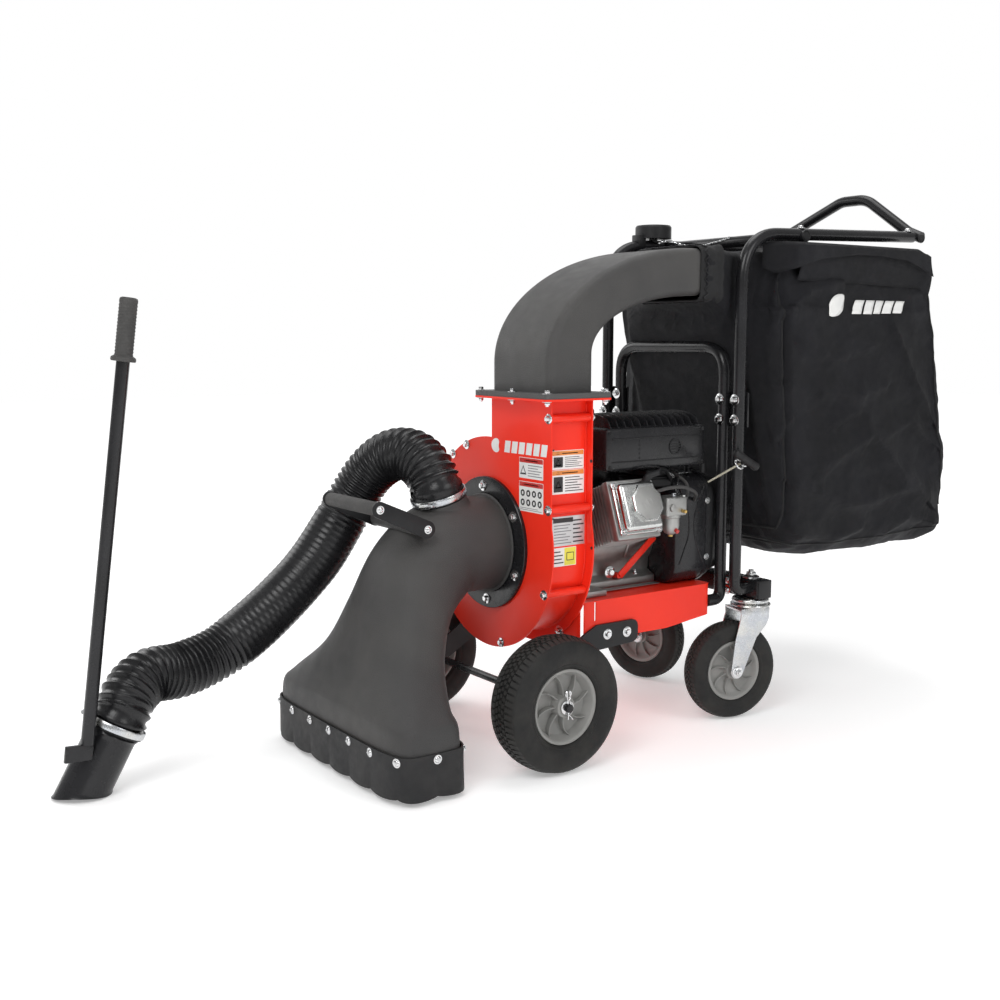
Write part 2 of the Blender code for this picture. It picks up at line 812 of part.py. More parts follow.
# Controls on the engine.
THROTTLE = Vector((0.112, 0.4540, 0.5284))
throttle = rod("throttle_lever", THROTTLE, THROTTLE + Vector((0, 0, 0.010)), 0.008, BLACK_PLASTIC, sides=16)
arm_low, arm_high = THROTTLE + Vector((0, -0.004, 0.003)), THROTTLE + Vector((0.046, 0.004, 0.007))
throttle_arm = box("throttle_arm", arm_low, arm_high, helper=True)
knob_low, knob_high = THROTTLE + Vector((0.042, 0, 0.001)), THROTTLE + Vector((0.042, 0, 0.020))
throttle_knob = rod("throttle_knob", knob_low, knob_high, 0.006, helper=True)
join(throttle, throttle_arm, throttle_knob)
CHOKE = Vector((0.196, 0.334, 0.4924))
choke = rod("choke_lever", CHOKE, CHOKE + Vector((0, 0, 0.006)), 0.005, ZINC, sides=12)
arm_low, arm_high = CHOKE + Vector((0, -0.003, 0.002)), CHOKE + Vector((0.030, 0.003, 0.0045))
choke_arm = box("choke_arm", arm_low, arm_high, helper=True)
join(choke, choke_arm)


# ---- Starter rope, its guide and grip ----
ROPE_START = Vector((0.1560, 0.470, 0.5080))
ROPE_GUIDE = Vector((0.2360, 0.4780, 0.5520))
ROPE_LINE = (ROPE_GUIDE - ROPE_START).normalized()
rod("starter_rope", ROPE_START, ROPE_GUIDE + ROPE_LINE * 0.006, 0.00225, ROPE, sides=10)
guide_ring = turned(
    "rope_guide",
    [(0.0100 + 0.0025 * math.cos(a), 0.0025 * math.sin(a)) for a in [-i * math.tau / 6 for i in range(6)]],
    ROPE_GUIDE,
    ROPE_LINE,
    BLACK_PAINT,
    steps=12,
)
guide_arm = tube(
    "guide_arm",
    bent(
        [
            ROPE_GUIDE + Vector((0.0, 0.0095, -0.004)),
            (0.2360, 0.500, 0.546),
            (0.2250, 0.500, 0.546),
        ],
        0.006,
    ),
    0.0022,
    fineness=2,
    helper=True,
)
join(guide_ring, as_mesh(guide_arm))
GRIP = ROPE_GUIDE + ROPE_LINE * 0.0200
grip_side = Vector((-0.329, 0.832, 0.445))
grip_side = (grip_side - ROPE_LINE * grip_side.dot(ROPE_LINE)).normalized()
grip_half = grip_side * 0.032
grip = rod("starter_handle", GRIP - grip_half, GRIP + grip_half, 0.010, BLACK_PLASTIC, sides=16)
neck_end = GRIP - ROPE_LINE * 0.0135
grip_neck = rod("starter_neck", GRIP, neck_end, 0.008, end_radius=0.0045, helper=True, sides=16)
join(grip, grip_neck)


# ---- Frame tubes ----
CROSSBAR = Vector((0.0, 0.6720, 1.0215))
PLUG_Y = 0.636  # the spare port plug, on the right rail
PLUG_LOW = 1.0405
NOTCH_REACH = Vector((0.3, 0, 0))
crossbar_notch = rod(
    "crossbar_notch", CROSSBAR - NOTCH_REACH, CROSSBAR + NOTCH_REACH, TUBE_RADIUS + GAP, helper=True
)
for side, sign in (("left", 1), ("right", -1)):
    x = sign * UPRIGHT_X
    lower = [(x, CASTER_Y - 0.020 - GAP, 0.281), (x, UPRIGHT_Y, 0.281), (x, UPRIGHT_Y, 0.800)]
    rail_end = (x, HANDLE_Y - TUBE_RADIUS - GAP, RAIL_Z[1])
    upper = [lower[-1], (x, UPRIGHT_Y, RAIL_Z[0]), rail_end]
    route = bent(lower, 0.040) + bent(upper, RAIL_BEND, 7)[1:]
    upright = as_mesh(tube(f"frame_{side}", route, TUBE_RADIUS, fineness=2), BLACK_PAINT)
    cut(upright, crossbar_notch)
    if side == "right":
        peg = rod("plug_peg", (x, PLUG_Y, 1.024), (x, PLUG_Y, PLUG_LOW - GAP), 0.010, sides=12, helper=True)
        join(upright, peg)

TUBE_END = 0.226  # half the length of the tubes that cross the machine
crossbar_half = Vector((TUBE_END, 0, 0))
rod("bag_crossbar", CROSSBAR - crossbar_half, CROSSBAR + crossbar_half, TUBE_RADIUS, BLACK_PAINT, sides=16)

hoop_route = [
    (HOOP_X, DECK_Y[1] + GAP, 0.255),
    (HOOP_X, HOOP_Y, 0.255),
    (HOOP_X, HOOP_Y, 0.790),
    (-HOOP_X, HOOP_Y, 0.790),
    (-HOOP_X, HOOP_Y, 0.255),
    (-HOOP_X, DECK_Y[1] + GAP, 0.255),
]
hoop = as_mesh(tube("guard_hoop", bent(hoop_route, 0.060), TUBE_RADIUS, fineness=2), BLACK_PAINT)
straps = [
    box(f"hoop_strap_{i}", (min(a, b), 0.5129 + GAP, 0.625), (max(a, b), 0.518, 0.697), helper=True)
    for i, (a, b) in enumerate(((0.155, 0.222), (-0.222, -0.155)))
]
join(hoop, *straps)

handle_route = [
    (-TUBE_END, HANDLE_Y, 1.052),
    (-0.190, HANDLE_Y, 1.060),
    (-0.005, HANDLE_Y, 1.134),
    (0.068, HANDLE_Y, 1.134),
    (0.190, HANDLE_Y, 1.050),
    (TUBE_END, HANDLE_Y, 1.036),
]
tube("push_handle", bent(handle_route, 0.075), TUBE_RADIUS, BLACK_PAINT, fineness=2)

PLUG_TOP = 1.0720
turned(
    "port_plug",
    [(0.0, PLUG_TOP), (0.038, PLUG_TOP), (0.0425, PLUG_TOP - 0.004), (0.0425, PLUG_LOW), (0.0, PLUG_LOW)],
    (-UPRIGHT_X, PLUG_Y, 0),
    (0, 0, 1),
    BLACK_PLASTIC,
    steps=28,
    closed=False,
)


# ---- Hood: a moulded shell from the floor opening to the fan's inlet, with the hose port on top ----
def squircle(half_u, half_v, power, count=24):
    """An outline between an ellipse (power 2) and a rectangle (large power)."""
    made = []
    for i in range(count):
        a = math.tau * i / count
        c, s = math.cos(a), math.sin(a)
        u = half_u * math.copysign(abs(c) ** (2 / power), c)
        v = half_v * math.copysign(abs(s) ** (2 / power), s)
        made.append((u, v))
    return made


# Stations up the hood: (Y, Z, tilt in degrees, half width, half depth, squareness).
HOOD = (
    (-0.272, 0.050, 0, 0.2505, 0.0735, 6.0),
    (-0.272, 0.120, 0, 0.2500, 0.0730, 5.5),
    (-0.266, 0.150, 0, 0.2280, 0.0700, 4.0),
    (-0.232, 0.212, 4, 0.1620, 0.0710, 3.0),
    (-0.196, 0.292, 12, 0.1230, 0.0770, 2.6),
    (-0.152, 0.358, 36, 0.1010, 0.0920, 2.4),
    (-0.100, 0.400, 66, 0.0950, 0.0960, 2.1),
    (-0.045, 0.4035, 90, 0.0945, 0.0945, 2.0),
    (0.0130, 0.4030, 90, 0.0945, 0.0945, 2.0),
)
HOOD_WALL = 0.004


def hood_rings(inset, reach):
    rings = []
    for i, (y, z, tilt, half_x, half_depth, power) in enumerate(HOOD):
        if i == 0:
            z -= reach
        if i == len(HOOD) - 1:
            y += reach
        t = math.radians(tilt)
        rings.append(
            [
                (u, y - v * math.cos(t), z + v * math.sin(t))
                for u, v in squircle(half_x - inset, half_depth - inset, power)
            ]
        )
    return rings


hood = loft("hood", hood_rings(0, 0), CHARCOAL, capped=True)
port_foot, port_head = PORT - PORT_AXIS * 0.070, PORT + PORT_AXIS * 0.006
port_outer = rod("port_outer", port_foot, port_head, HOSE_RADIUS, sides=24, helper=True)
lug = rod(
    "handle_lug",
    HANDLE_PIVOT - Vector((0.0925, 0, 0)),
    HANDLE_PIVOT + Vector((0.0925, 0, 0)),
    0.0125,
    sides=16,
    helper=True,
)
hood_hollow = loft("hood_hollow", hood_rings(HOOD_WALL, 0.02), capped=True, helper=True)
port_hollow = rod(
    "port_hollow",
    PORT - PORT_AXIS * 0.060,
    PORT + PORT_AXIS * 0.030,
    HOSE_RADIUS - HOOD_WALL,
    sides=28,
    helper=True,
)
join(hood, port_outer, lug)
cut(hood, hood_hollow, port_hollow)

turned(
    "inlet_ring",
    ring_profile(0.0960, 0.1325, 0.0060, FRONT_PLATE_Y[0] - GAP),
    (0, 0, SHAFT_Z),
    (0, 1, 0),
    BLACK_PAINT,
    steps=28,
)

skirt_outer = [(u, v - 0.272) for u, v in squircle(0.2562, 0.0795, 6.0)]
skirt_inner = [(u, v - 0.272) for u, v in squircle(0.2520, 0.0752, 6.0)]
plate("skirt", [skirt_outer, skirt_inner], 0.070, facing_z(0.055), RUBBER)

# The hood's hinged grip: two flat arms and a round bar between them.
HANDLE_ARM_X = (0.0930, 0.0980)
HANDLE_ANGLE = math.radians(24)
ARM_LENGTH = 0.110
bar_at = HANDLE_PIVOT + ARM_LENGTH * Vector((0, -math.cos(HANDLE_ANGLE), math.sin(HANDLE_ANGLE)))
hood_handle = rod(
    "hood_handle",
    bar_at - Vector((HANDLE_ARM_X[0] + 0.001, 0, 0)),
    bar_at + Vector((HANDLE_ARM_X[0] + 0.001, 0, 0)),
    0.0130,
    BLACK_PAINT,
    sides=20,
)
py, pz = HANDLE_PIVOT.y, HANDLE_PIVOT.z
by, bz = bar_at.y, bar_at.z
lean = math.degrees(HANDLE_ANGLE)
arm_outline = arc(py, pz, 0.016, -90 - lean, 90 - lean, 8) + arc(by, bz, 0.016, 90 - lean, 270 - lean, 8)
arms = [
    plate(f"handle_arm_{i}", [arm_outline], 0.005, facing_x(s * mid(HANDLE_ARM_X)), helper=True)
    for i, s in enumerate((-1, 1))
]
join(hood_handle, *arms)


# ---- Chute: a rectangular elbow from the outlet flange back to the bag ----
CHUTE_X = (0.015, 0.205)
CHUTE_BASE = FLANGE_Z + 0.004 + GAP
CHUTE_WALL = 0.004


def elbow(t):
    """The outer and inner (Y, Z) points of the chute at t, from 0 at its base to 1 at its mouth."""
    straight = 0.25
    if t < straight:
        s = t / straight
        return (0.010, CHUTE_BASE + s * (0.762 - CHUTE_BASE)), (0.117, CHUTE_BASE + s * (0.780 - CHUTE_BASE))
    a = math.radians(90 * (t - straight) / (1 - straight))
    outer = (0.388 - 0.378 * math.cos(a), 0.762 + 0.225 * math.sin(a))
    inner_point = (0.390 - 0.273 * math.cos(a), 0.780 + 0.113 * math.sin(a))
    return outer, inner_point


def chute_rings(inset, reach):
    rings = []
    count = 12
    for i in range(count + 1):
        (oy, oz), (iy, iz) = elbow(i / count)
        if i == 0:
            oz, iz = oz - reach, iz - reach
        if i == count:
            oy, iy = oy + reach, iy + reach
        outer, inner_point = Vector((0, oy, oz)), Vector((0, iy, iz))
        depth = (inner_point - outer).length
        along = (inner_point - outer) / depth
        low, high = (CHUTE_X[0] + inset, inset), (CHUTE_X[1] - inset, depth - inset)
        outline = rounded(low, high, 0.014 - inset / 2, 2)
        rings.append([(u, outer.y + along.y * v, outer.z + along.z * v) for u, v in outline])
    return rings


chute = loft("chute", chute_rings(0, 0), CHARCOAL, capped=True)
chute_flange = plate(
    "chute_flange",
    [rounded((FLANGE_X[0] + 0.001, FLANGE_Y[0] + 0.001), (FLANGE_X[1] - 0.001, FLANGE_Y[1] - 0.001), 0.012)],
    0.010,
    facing_z(CHUTE_BASE + 0.005),
    helper=True,
)
chute_hollow = loft("chute_hollow", chute_rings(CHUTE_WALL, 0.02), capped=True, helper=True)
join(chute, chute_flange)
cut(chute, chute_hollow)


# ---- Bag: a thin shell hung from the rails, with its neck on the chute ----
# Stations back along the bag: (Y, low X, high X, low Z, high Z, half width above the shoulder).
BAG = (
    (0.3960, 0.008, 0.212, 0.886, 0.995, 0.212),
    (0.4400, -0.030, 0.205, 0.875, 0.994, 0.205),
    (0.5050, -0.183, 0.188, 0.830, 0.992, 0.188),
    (0.5520, -0.190, 0.190, 0.690, 0.990, 0.186),
    (0.5780, -0.248, 0.248, 0.560, 0.990, 0.206),
    (0.6100, -0.262, 0.262, 0.440, 0.990, 0.238),
    (0.6500, -0.268, 0.268, 0.370, 0.990, 0.256),
    (0.7200, -0.270, 0.270, 0.345, 0.985, 0.262),
    (0.9000, -0.270, 0.270, 0.340, 0.983, 0.266),
    (1.0450, -0.270, 0.270, 0.340, 0.984, 0.264),
    (1.0720, -0.269, 0.269, 0.340, 0.960, 0.258),
    (1.1000, -0.269, 0.269, 0.340, 0.790, 0.262),
    (1.1300, -0.268, 0.268, 0.342, 0.640, 0.262),
    (1.1500, -0.262, 0.262, 0.350, 0.530, 0.258),
    (1.1600, -0.240, 0.240, 0.378, 0.470, 0.236),
)
SHOULDER = 0.85


def bag_rings():
    rings = []
    for y, x0, x1, z0, z1, top in BAG:
        cx, cz = (x0 + x1) / 2, (z0 + z1) / 2
        ring = []
        for u, v in squircle((x1 - x0) / 2, (z1 - z0) / 2, 6.0, 20):
            x, z = cx + u, cz + v
            rise = min(max((z - SHOULDER + 0.03) / 0.06, 0.0), 1.0)
            limit = top * rise + 1.0 * (1 - rise)
            ring.append((max(-limit, min(limit, x)), y, z))
        rings.append(ring)
    return rings


bag_skin = bag_rings()
bag = loft("bag", bag_skin, FABRIC)
sheet = bmesh.new()
sheet.from_mesh(bag.data)
sheet.verts.ensure_lookup_table()
last = len(sheet.verts) - len(bag_skin[-1])
sheet.faces.new([sheet.verts[i] for i in range(last, len(sheet.verts))])
bmesh.ops.recalc_face_normals(sheet, faces=sheet.faces)
sheet.to_mesh(bag.data)
sheet.free()
wall = bag.modifiers.new("wall", "SOLIDIFY")
wall.thickness = 0.003
wall.offset = -1.0


# ---- Hose, its clamps, and the hand wand ----
tube("hose", flowing(HOSE_ROUTE, 0.0160), HOSE_RADIUS, HOSE, fineness=2)
CLAMP = ring_profile(HOSE_RADIUS + 0.0012, HOSE_RADIUS + 0.0032, 0.0, 0.013)
turned("hose_clamp_upper", CLAMP, PORT + PORT_AXIS * 0.0095, PORT_AXIS, ZINC, steps=24)
turned("hose_clamp_lower", CLAMP, NOZZLE_TOP - NOZZLE_AXIS * 0.0040, -NOZZLE_AXIS, ZINC, steps=24)

nozzle = turned(
    "wand_nozzle",
    [
        (NOZZLE_RADIUS, 0.0),
        (NOZZLE_RADIUS, -0.170),
        (NOZZLE_RADIUS - NOZZLE_WALL, -0.170),
        (NOZZLE_RADIUS - NOZZLE_WALL, 0.0),
    ],
    NOZZLE_TOP,
    -NOZZLE_AXIS,
    BLACK_PAINT,
    steps=32,
)
ROD_FOOT = Vector((-0.1052, -0.7674, 0.105))
ROD_HEAD = Vector((-0.0744, -0.6735, 0.878))
foot_line = (ROD_HEAD - ROD_FOOT).normalized()
nozzle_bracket = box(
    "nozzle_bracket",
    (-0.011, -0.012, -0.034),
    (0.040, 0.012, -GAP),
    helper=True,
    matrix=towards(foot_line, ROD_FOOT) @ Matrix.Rotation(math.radians(118), 4, "Z"),
)
floor_cut = box("floor_cut", (-0.4, -1.0, -0.3), (0.1, -0.5, 0.0), helper=True)
nozzle_way = rod(
    "nozzle_way",
    NOZZLE_TOP - NOZZLE_AXIS * 0.02,
    NOZZLE_TOP + NOZZLE_AXIS * 0.2,
    NOZZLE_RADIUS - NOZZLE_WALL,
    sides=32,
    helper=True,
)
join(nozzle, nozzle_bracket)
cut(nozzle, nozzle_way, floor_cut)

GRIP_START = 0.860  # share of the rod below the grip
grip_foot = ROD_FOOT.lerp(ROD_HEAD, GRIP_START)
rod("wand_rod", ROD_FOOT, grip_foot - foot_line * GAP, 0.0115, BLACK_PAINT, sides=20)
turned(
    "wand_grip",
    [
        (0.0, 0.108),
        (0.0135, 0.108),
        (0.0155, 0.104),
        (0.0150, 0.010),
        (0.0210, 0.006),
        (0.0210, 0.0),
        (0.0, 0.0),
    ],
    grip_foot,
    foot_line,
    BLACK_PLASTIC,
    steps=20,
    closed=False,
)

# ---- Moving pieces turn about their own origins ----
for name, point in (
    ("hood_handle", HANDLE_PIVOT),
    ("throttle_lever", THROTTLE),
    ("choke_lever", CHOKE),
    ("starter_handle", GRIP),
    ("crankshaft", (0, 0, SHAFT_Z)),
):
    origin_at(bpy.data.objects[name], point)
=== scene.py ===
"""The looks of a walk-behind leaf vacuum mulcher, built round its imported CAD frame.

Metres, +Z up. Shapes are written in the machine's own frame, whose origin is on the ground under the
middle of the front axle, with -Y ahead and +X to the machine's left. link() moves each finished mesh
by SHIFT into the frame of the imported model.
"""

import math

import bmesh
import bpy
import numpy as np
from mathutils import Matrix, Vector, noise
from mathutils.bvhtree import BVHTree


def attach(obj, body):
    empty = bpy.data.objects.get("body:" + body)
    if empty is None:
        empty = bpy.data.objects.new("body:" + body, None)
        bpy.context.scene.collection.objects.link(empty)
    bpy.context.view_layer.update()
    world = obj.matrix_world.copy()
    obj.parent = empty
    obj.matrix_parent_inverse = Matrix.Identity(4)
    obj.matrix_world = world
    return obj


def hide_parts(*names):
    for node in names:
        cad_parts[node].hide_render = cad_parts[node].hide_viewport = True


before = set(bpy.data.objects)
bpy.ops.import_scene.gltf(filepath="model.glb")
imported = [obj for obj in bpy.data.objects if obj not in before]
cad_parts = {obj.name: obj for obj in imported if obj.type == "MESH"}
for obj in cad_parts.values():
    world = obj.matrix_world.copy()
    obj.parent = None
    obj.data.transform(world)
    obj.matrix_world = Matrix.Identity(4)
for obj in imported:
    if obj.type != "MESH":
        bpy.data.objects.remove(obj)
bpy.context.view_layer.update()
SHIFT = Matrix.Translation((0.0, -0.16947, 0.0))
UP = Vector((0, 0, 1))
ALONG_X = Vector((1, 0, 0))
ALONG_Y = Vector((0, 1, 0))


# ---- Camera, light and floor ----
def set_the_stage():
    scene = bpy.context.scene
    camera = bpy.data.cameras.new("camera")
    camera.lens = 44.64
    camera.sensor_width = 36.0
    camera.clip_start, camera.clip_end = 0.05, 60.0
    holder = bpy.data.objects.new("camera", camera)
    holder.location = (2.022, -1.5585, 0.811)
    azimuth, pitch = math.radians(54.7), math.radians(7.49)
    holder.rotation_euler = (math.pi / 2 - pitch, 0.0, azimuth)
    scene.collection.objects.link(holder)
    scene.camera = holder

    scene.view_settings.view_transform = "Standard"
    world = bpy.data.worlds.new("studio")
    world.use_nodes = True
    background = world.node_tree.nodes["Background"]
    background.inputs["Color"].default_value = (1.0, 1.0, 1.0, 1.0)
    scene.world = world

    # White behind the machine and grey all round, so that dark paint has something dark to reflect.
    def node(kind, **values):
        made = world.node_tree.nodes.new(kind)
        for name, value in values.items():
            made.inputs[name.replace("_", " ")].default_value = value
        return made

    where = node("ShaderNodeTexCoord")
    facing = node("ShaderNodeVectorMath")
    facing.operation = "DOT_PRODUCT"
    facing.inputs[1].default_value = (-math.sin(azimuth), math.cos(azimuth), 0.0)
    ramp = node("ShaderNodeMapRange", From_Min=0.45, From_Max=0.80, To_Min=0.42, To_Max=1.0)
    world.node_tree.links.new(where.outputs["Generated"], facing.inputs[0])
    world.node_tree.links.new(facing.outputs["Value"], ramp.inputs["Value"])
    world.node_tree.links.new(ramp.outputs["Result"], background.inputs["Strength"])

    middle = Vector((0.0, 0.0, 0.5))
    lamps = (
        ("key", (1.9, -3.0, 3.3), 2.0, 70.0),
        ("left", (3.4, 0.6, 2.4), 1.6, 30.0),
        ("top", (-0.4, 0.4, 3.9), 2.2, 45.0),
        ("far", (-3.2, -1.4, 2.2), 2.0, 30.0),
    )
    for name, place, size, power in lamps:
        lamp = bpy.data.lights.new(name, "AREA")
        lamp.shape = "SQUARE"
        lamp.size = size
        lamp.energy = power
        made = bpy.data.objects.new(name, lamp)
        made.location = place
        made.rotation_euler = (middle - Vector(place)).to_track_quat("-Z", "Y").to_euler()
        scene.collection.objects.link(made)

    mesh = bpy.data.meshes.new("floor")
    built = bmesh.new()
    bmesh.ops.create_grid(built, x_segments=1, y_segments=1, size=14.0)
    built.to_mesh(mesh)
    built.free()
    floor = bpy.data.objects.new("floor", mesh)
    floor.location.z = -0.0005
    pale = bpy.data.materials.new("floor")
    pale.use_nodes = True
    shader = pale.node_tree.nodes["Principled BSDF"]
    shader.inputs["Base Color"].default_value = (0.90, 0.90, 0.90, 1.0)
    shader.inputs["Roughness"].default_value = 0.75
    shader.inputs["Specular IOR Level"].default_value = 0.0
    shader.inputs["Emission Color"].default_value = (1.0, 1.0, 1.0, 1.0)
    # The lamps reach only the middle of the floor, so it glows a little more away from there.
    tree = pale.node_tree
    spot = tree.nodes.new("ShaderNodeVectorMath")
    spot.operation = "LENGTH"
    glow = tree.nodes.new("ShaderNodeMapRange")
    for socket, value in (("From Min", 1.4), ("From Max", 4.0), ("To Min", 0.32), ("To Max", 0.70)):
        glow.inputs[socket].default_value = value
    tree.links.new(tree.nodes.new("ShaderNodeTexCoord").outputs["Object"], spot.inputs[0])
    tree.links.new(spot.outputs["Value"], glow.inputs["Value"])
    tree.links.new(glow.outputs["Result"], shader.inputs["Emission Strength"])
    mesh.materials.append(pale)
    scene.collection.objects.link(floor)


set_the_stage()


# ---- Materials ----
def surface(name, colour, roughness, metallic=0.0, tint=None, patch=6.0, grain=(), wear=None, **sockets):
    """A procedural finish. tint is the colour of soft patches, and patch their count in a metre.
    grain lists bumps as (texture, count in a metre, height in metres). wear is the colour of rubbed edges."""
    made = bpy.data.materials.new(name)
    made.use_nodes = True
    tree = made.node_tree
    shader = tree.nodes["Principled BSDF"]
    where = tree.nodes.new("ShaderNodeTexCoord").outputs["Object"]

    def texture(kind, scale):
        node = tree.nodes.new("ShaderNodeTexVoronoi" if kind == "cells" else "ShaderNodeTexNoise")
        node.inputs["Scale"].default_value = scale
        if kind == "clouds":
            node.inputs["Detail"].default_value = 6.0
        elif kind == "noise":
            node.inputs["Detail"].default_value = 2.0
        tree.links.new(where, node.inputs["Vector"])
        return node.outputs["Distance"] if kind == "cells" else node.outputs["Fac"]

    def mix(share, first, second):
        node = tree.nodes.new("ShaderNodeMix")
        node.data_type = "RGBA"
        tree.links.new(share, node.inputs["Factor"])
        for socket, value in ((node.inputs["A"], first), (node.inputs["B"], second)):
            if isinstance(value, tuple):
                socket.default_value = (*value, 1.0)
            else:
                tree.links.new(value, socket)
        return node.outputs["Result"]

    def remap(value, low, high, to_low, to_high):
        node = tree.nodes.new("ShaderNodeMapRange")
        for socket, number in zip(("From Min", "From Max", "To Min", "To Max"), (low, high, to_low, to_high)):
            node.inputs[socket].default_value = number
        tree.links.new(value, node.inputs["Value"])
        return node.outputs["Result"]

    clouds = texture("clouds", patch)
    result = mix(remap(clouds, 0.38, 0.66, 0.0, 1.0), colour, tint or tuple(c * 0.82 for c in colour))
    if wear:
        rubbed = tree.nodes.new("ShaderNodeNewGeometry").outputs["Pointiness"]
        result = mix(remap(rubbed, 0.53, 0.62, 0.0, 0.6), result, wear)
    tree.links.new(result, shader.inputs["Base Color"])
    spread = min(0.06, roughness * 0.25)
    tree.links.new(
        remap(texture("clouds", patch * 5), 0.3, 0.7, roughness - spread, roughness + spread),
        shader.inputs["Roughness"],
    )
    shader.inputs["Metallic"].default_value = metallic
    for socket, number in sockets.items():
        shader.inputs[socket.replace("_", " ")].default_value = number
    normal = None
    for kind, scale, height in grain:
        bump = tree.nodes.new("ShaderNodeBump")
        bump.inputs["Distance"].default_value = height
        bump.inputs["Strength"].default_value = 1.0
        tree.links.new(texture(kind, scale), bump.inputs["Height"])
        if normal:
            tree.links.new(normal, bump.inputs["Normal"])
        normal = bump.outputs["Normal"]
    if normal:
        tree.links.new(normal, shader.inputs["Normal"])
    return made


def woven(name, colour, tint, thread, height, **sockets):
    """A plain weave: two crossed bands of threads, thread metres apart."""
    made = surface(name, colour, 0.72, tint=tint, patch=9.0, **sockets)
    tree = made.node_tree
    shader = tree.nodes["Principled BSDF"]
    where = tree.nodes.new("ShaderNodeTexCoord").outputs["Object"]
    parts = tree.nodes.new("ShaderNodeSeparateXYZ")
    tree.links.new(where, parts.inputs["Vector"])

    def wave(value):
        turn = tree.nodes.new("ShaderNodeMath")
        turn.operation = "MULTIPLY"
        turn.inputs[1].default_value = math.tau / thread
        tree.links.new(value, turn.inputs[0])
        sine = tree.nodes.new("ShaderNodeMath")
        sine.operation = "SINE"
        tree.links.new(turn.outputs[0], sine.inputs[0])
        return sine.outputs[0]

    def times(first, second, operation="MULTIPLY"):
        node = tree.nodes.new("ShaderNodeMath")
        node.operation = operation
        tree.links.new(first, node.inputs[0])
        tree.links.new(second, node.inputs[1])
        return node.outputs[0]

    level = times(parts.outputs["X"], parts.outputs["Y"], "ADD")
    weave = times(wave(level), wave(parts.outputs["Z"]))
    bump = tree.nodes.new("ShaderNodeBump")
    bump.inputs["Distance"].default_value = height
    tree.links.new(weave, bump.inputs["Height"])
    soft = tree.nodes.new("ShaderNodeTexNoise")
    soft.inputs["Scale"].default_value = 26.0
    soft.inputs["Detail"].default_value = 5.0
    tree.links.new(where, soft.inputs["Vector"])
    crease = tree.nodes.new("ShaderNodeBump")
    crease.inputs["Distance"].default_value = 0.004
    tree.links.new(soft.outputs["Fac"], crease.inputs["Height"])
    tree.links.new(bump.outputs["Normal"], crease.inputs["Normal"])
    tree.links.new(crease.outputs["Normal"], shader.inputs["Normal"])
    return made


RED = surface(
    "red_paint", (0.88, 0.033, 0.013), 0.36, tint=(0.82, 0.028, 0.012), patch=5,
    grain=(("noise", 420, 0.00008),), Coat_Weight=0.10, Coat_Roughness=0.12, Specular_IOR_Level=0.22,
)
BLACK = surface(
    "black_paint", (0.010, 0.010, 0.011), 0.26, tint=(0.016, 0.016, 0.018), patch=9,
    grain=(("noise", 700, 0.00008),), Coat_Weight=0.12, Coat_Roughness=0.1, Specular_IOR_Level=0.30,
)
SATIN = surface(
    "satin_black", (0.009, 0.009, 0.010), 0.42, tint=(0.015, 0.015, 0.016), patch=12,
    grain=(("noise", 900, 0.0001),),
    Specular_IOR_Level=0.30,
)
CHARCOAL = surface(
    "charcoal_plastic", (0.050, 0.049, 0.049), 0.50, tint=(0.066, 0.064, 0.062), patch=7,
    grain=(("noise", 520, 0.0010), ("noise", 1500, 0.0003)), wear=(0.10, 0.10, 0.10), Specular_IOR_Level=0.30,
)
MOULDED = surface(
    "black_plastic", (0.010, 0.010, 0.011), 0.40, tint=(0.017, 0.017, 0.018), patch=10,
    grain=(("noise", 800, 0.0002),),
    Specular_IOR_Level=0.28,
)
GREY = surface(
    "grey_plastic", (0.235, 0.235, 0.225), 0.45, tint=(0.275, 0.272, 0.26), patch=14,
    grain=(("noise", 900, 0.0001),)
)
TYRE = surface(
    "tyre_rubber", (0.013, 0.013, 0.013), 0.62, tint=(0.024, 0.023, 0.021), patch=20,
    grain=(("noise", 600, 0.0003),), wear=(0.035, 0.034, 0.032), Specular_IOR_Level=0.30,
)
SKIRT = surface(
    "skirt_rubber", (0.016, 0.016, 0.017), 0.55, tint=(0.027, 0.026, 0.026), patch=16,
    grain=(("noise", 500, 0.0003),),
    Specular_IOR_Level=0.30,
)
HOSE = surface(
    "hose_plastic", (0.009, 0.009, 0.010), 0.28, tint=(0.016, 0.016, 0.017), patch=12,
    grain=(("noise", 300, 0.0002),),
    Specular_IOR_Level=0.35,
)
ZINC = surface(
    "zinc_plate", (0.52, 0.54, 0.57), 0.28, 1.0, tint=(0.62, 0.62, 0.60), patch=30,
    grain=(("noise", 700, 0.00006),)
)
CHROME = surface("bright_steel", (0.72, 0.73, 0.74), 0.15, 1.0, tint=(0.62, 0.62, 0.62), patch=40)
CAST = surface(
    "cast_aluminium", (0.44, 0.44, 0.43), 0.48, 1.0, tint=(0.34, 0.34, 0.33), patch=18,
    grain=(("noise", 900, 0.0004),)
)
BRIGHT_CAST = surface(
    "bright_casting", (0.66, 0.67, 0.66), 0.22, 1.0, tint=(0.55, 0.56, 0.55), patch=22,
    grain=(("noise", 500, 0.0002),)
)
BRASS = surface("brass", (0.62, 0.44, 0.16), 0.30, 1.0, tint=(0.55, 0.36, 0.12), patch=60)
GRIP = surface(
    "grip_foam", (0.046, 0.045, 0.044), 0.75, tint=(0.062, 0.060, 0.058), patch=25,
    grain=(("noise", 1100, 0.0005),)
)
FABRIC = woven(
    "bag_fabric", (0.0045, 0.0045, 0.0062), (0.0080, 0.0080, 0.0110), 0.0016, 0.0003,
    Specular_IOR_Level=0.32
)
WEBBING = woven("edge_tape", (0.007, 0.007, 0.008), (0.012, 0.012, 0.013), 0.0012, 0.0003)
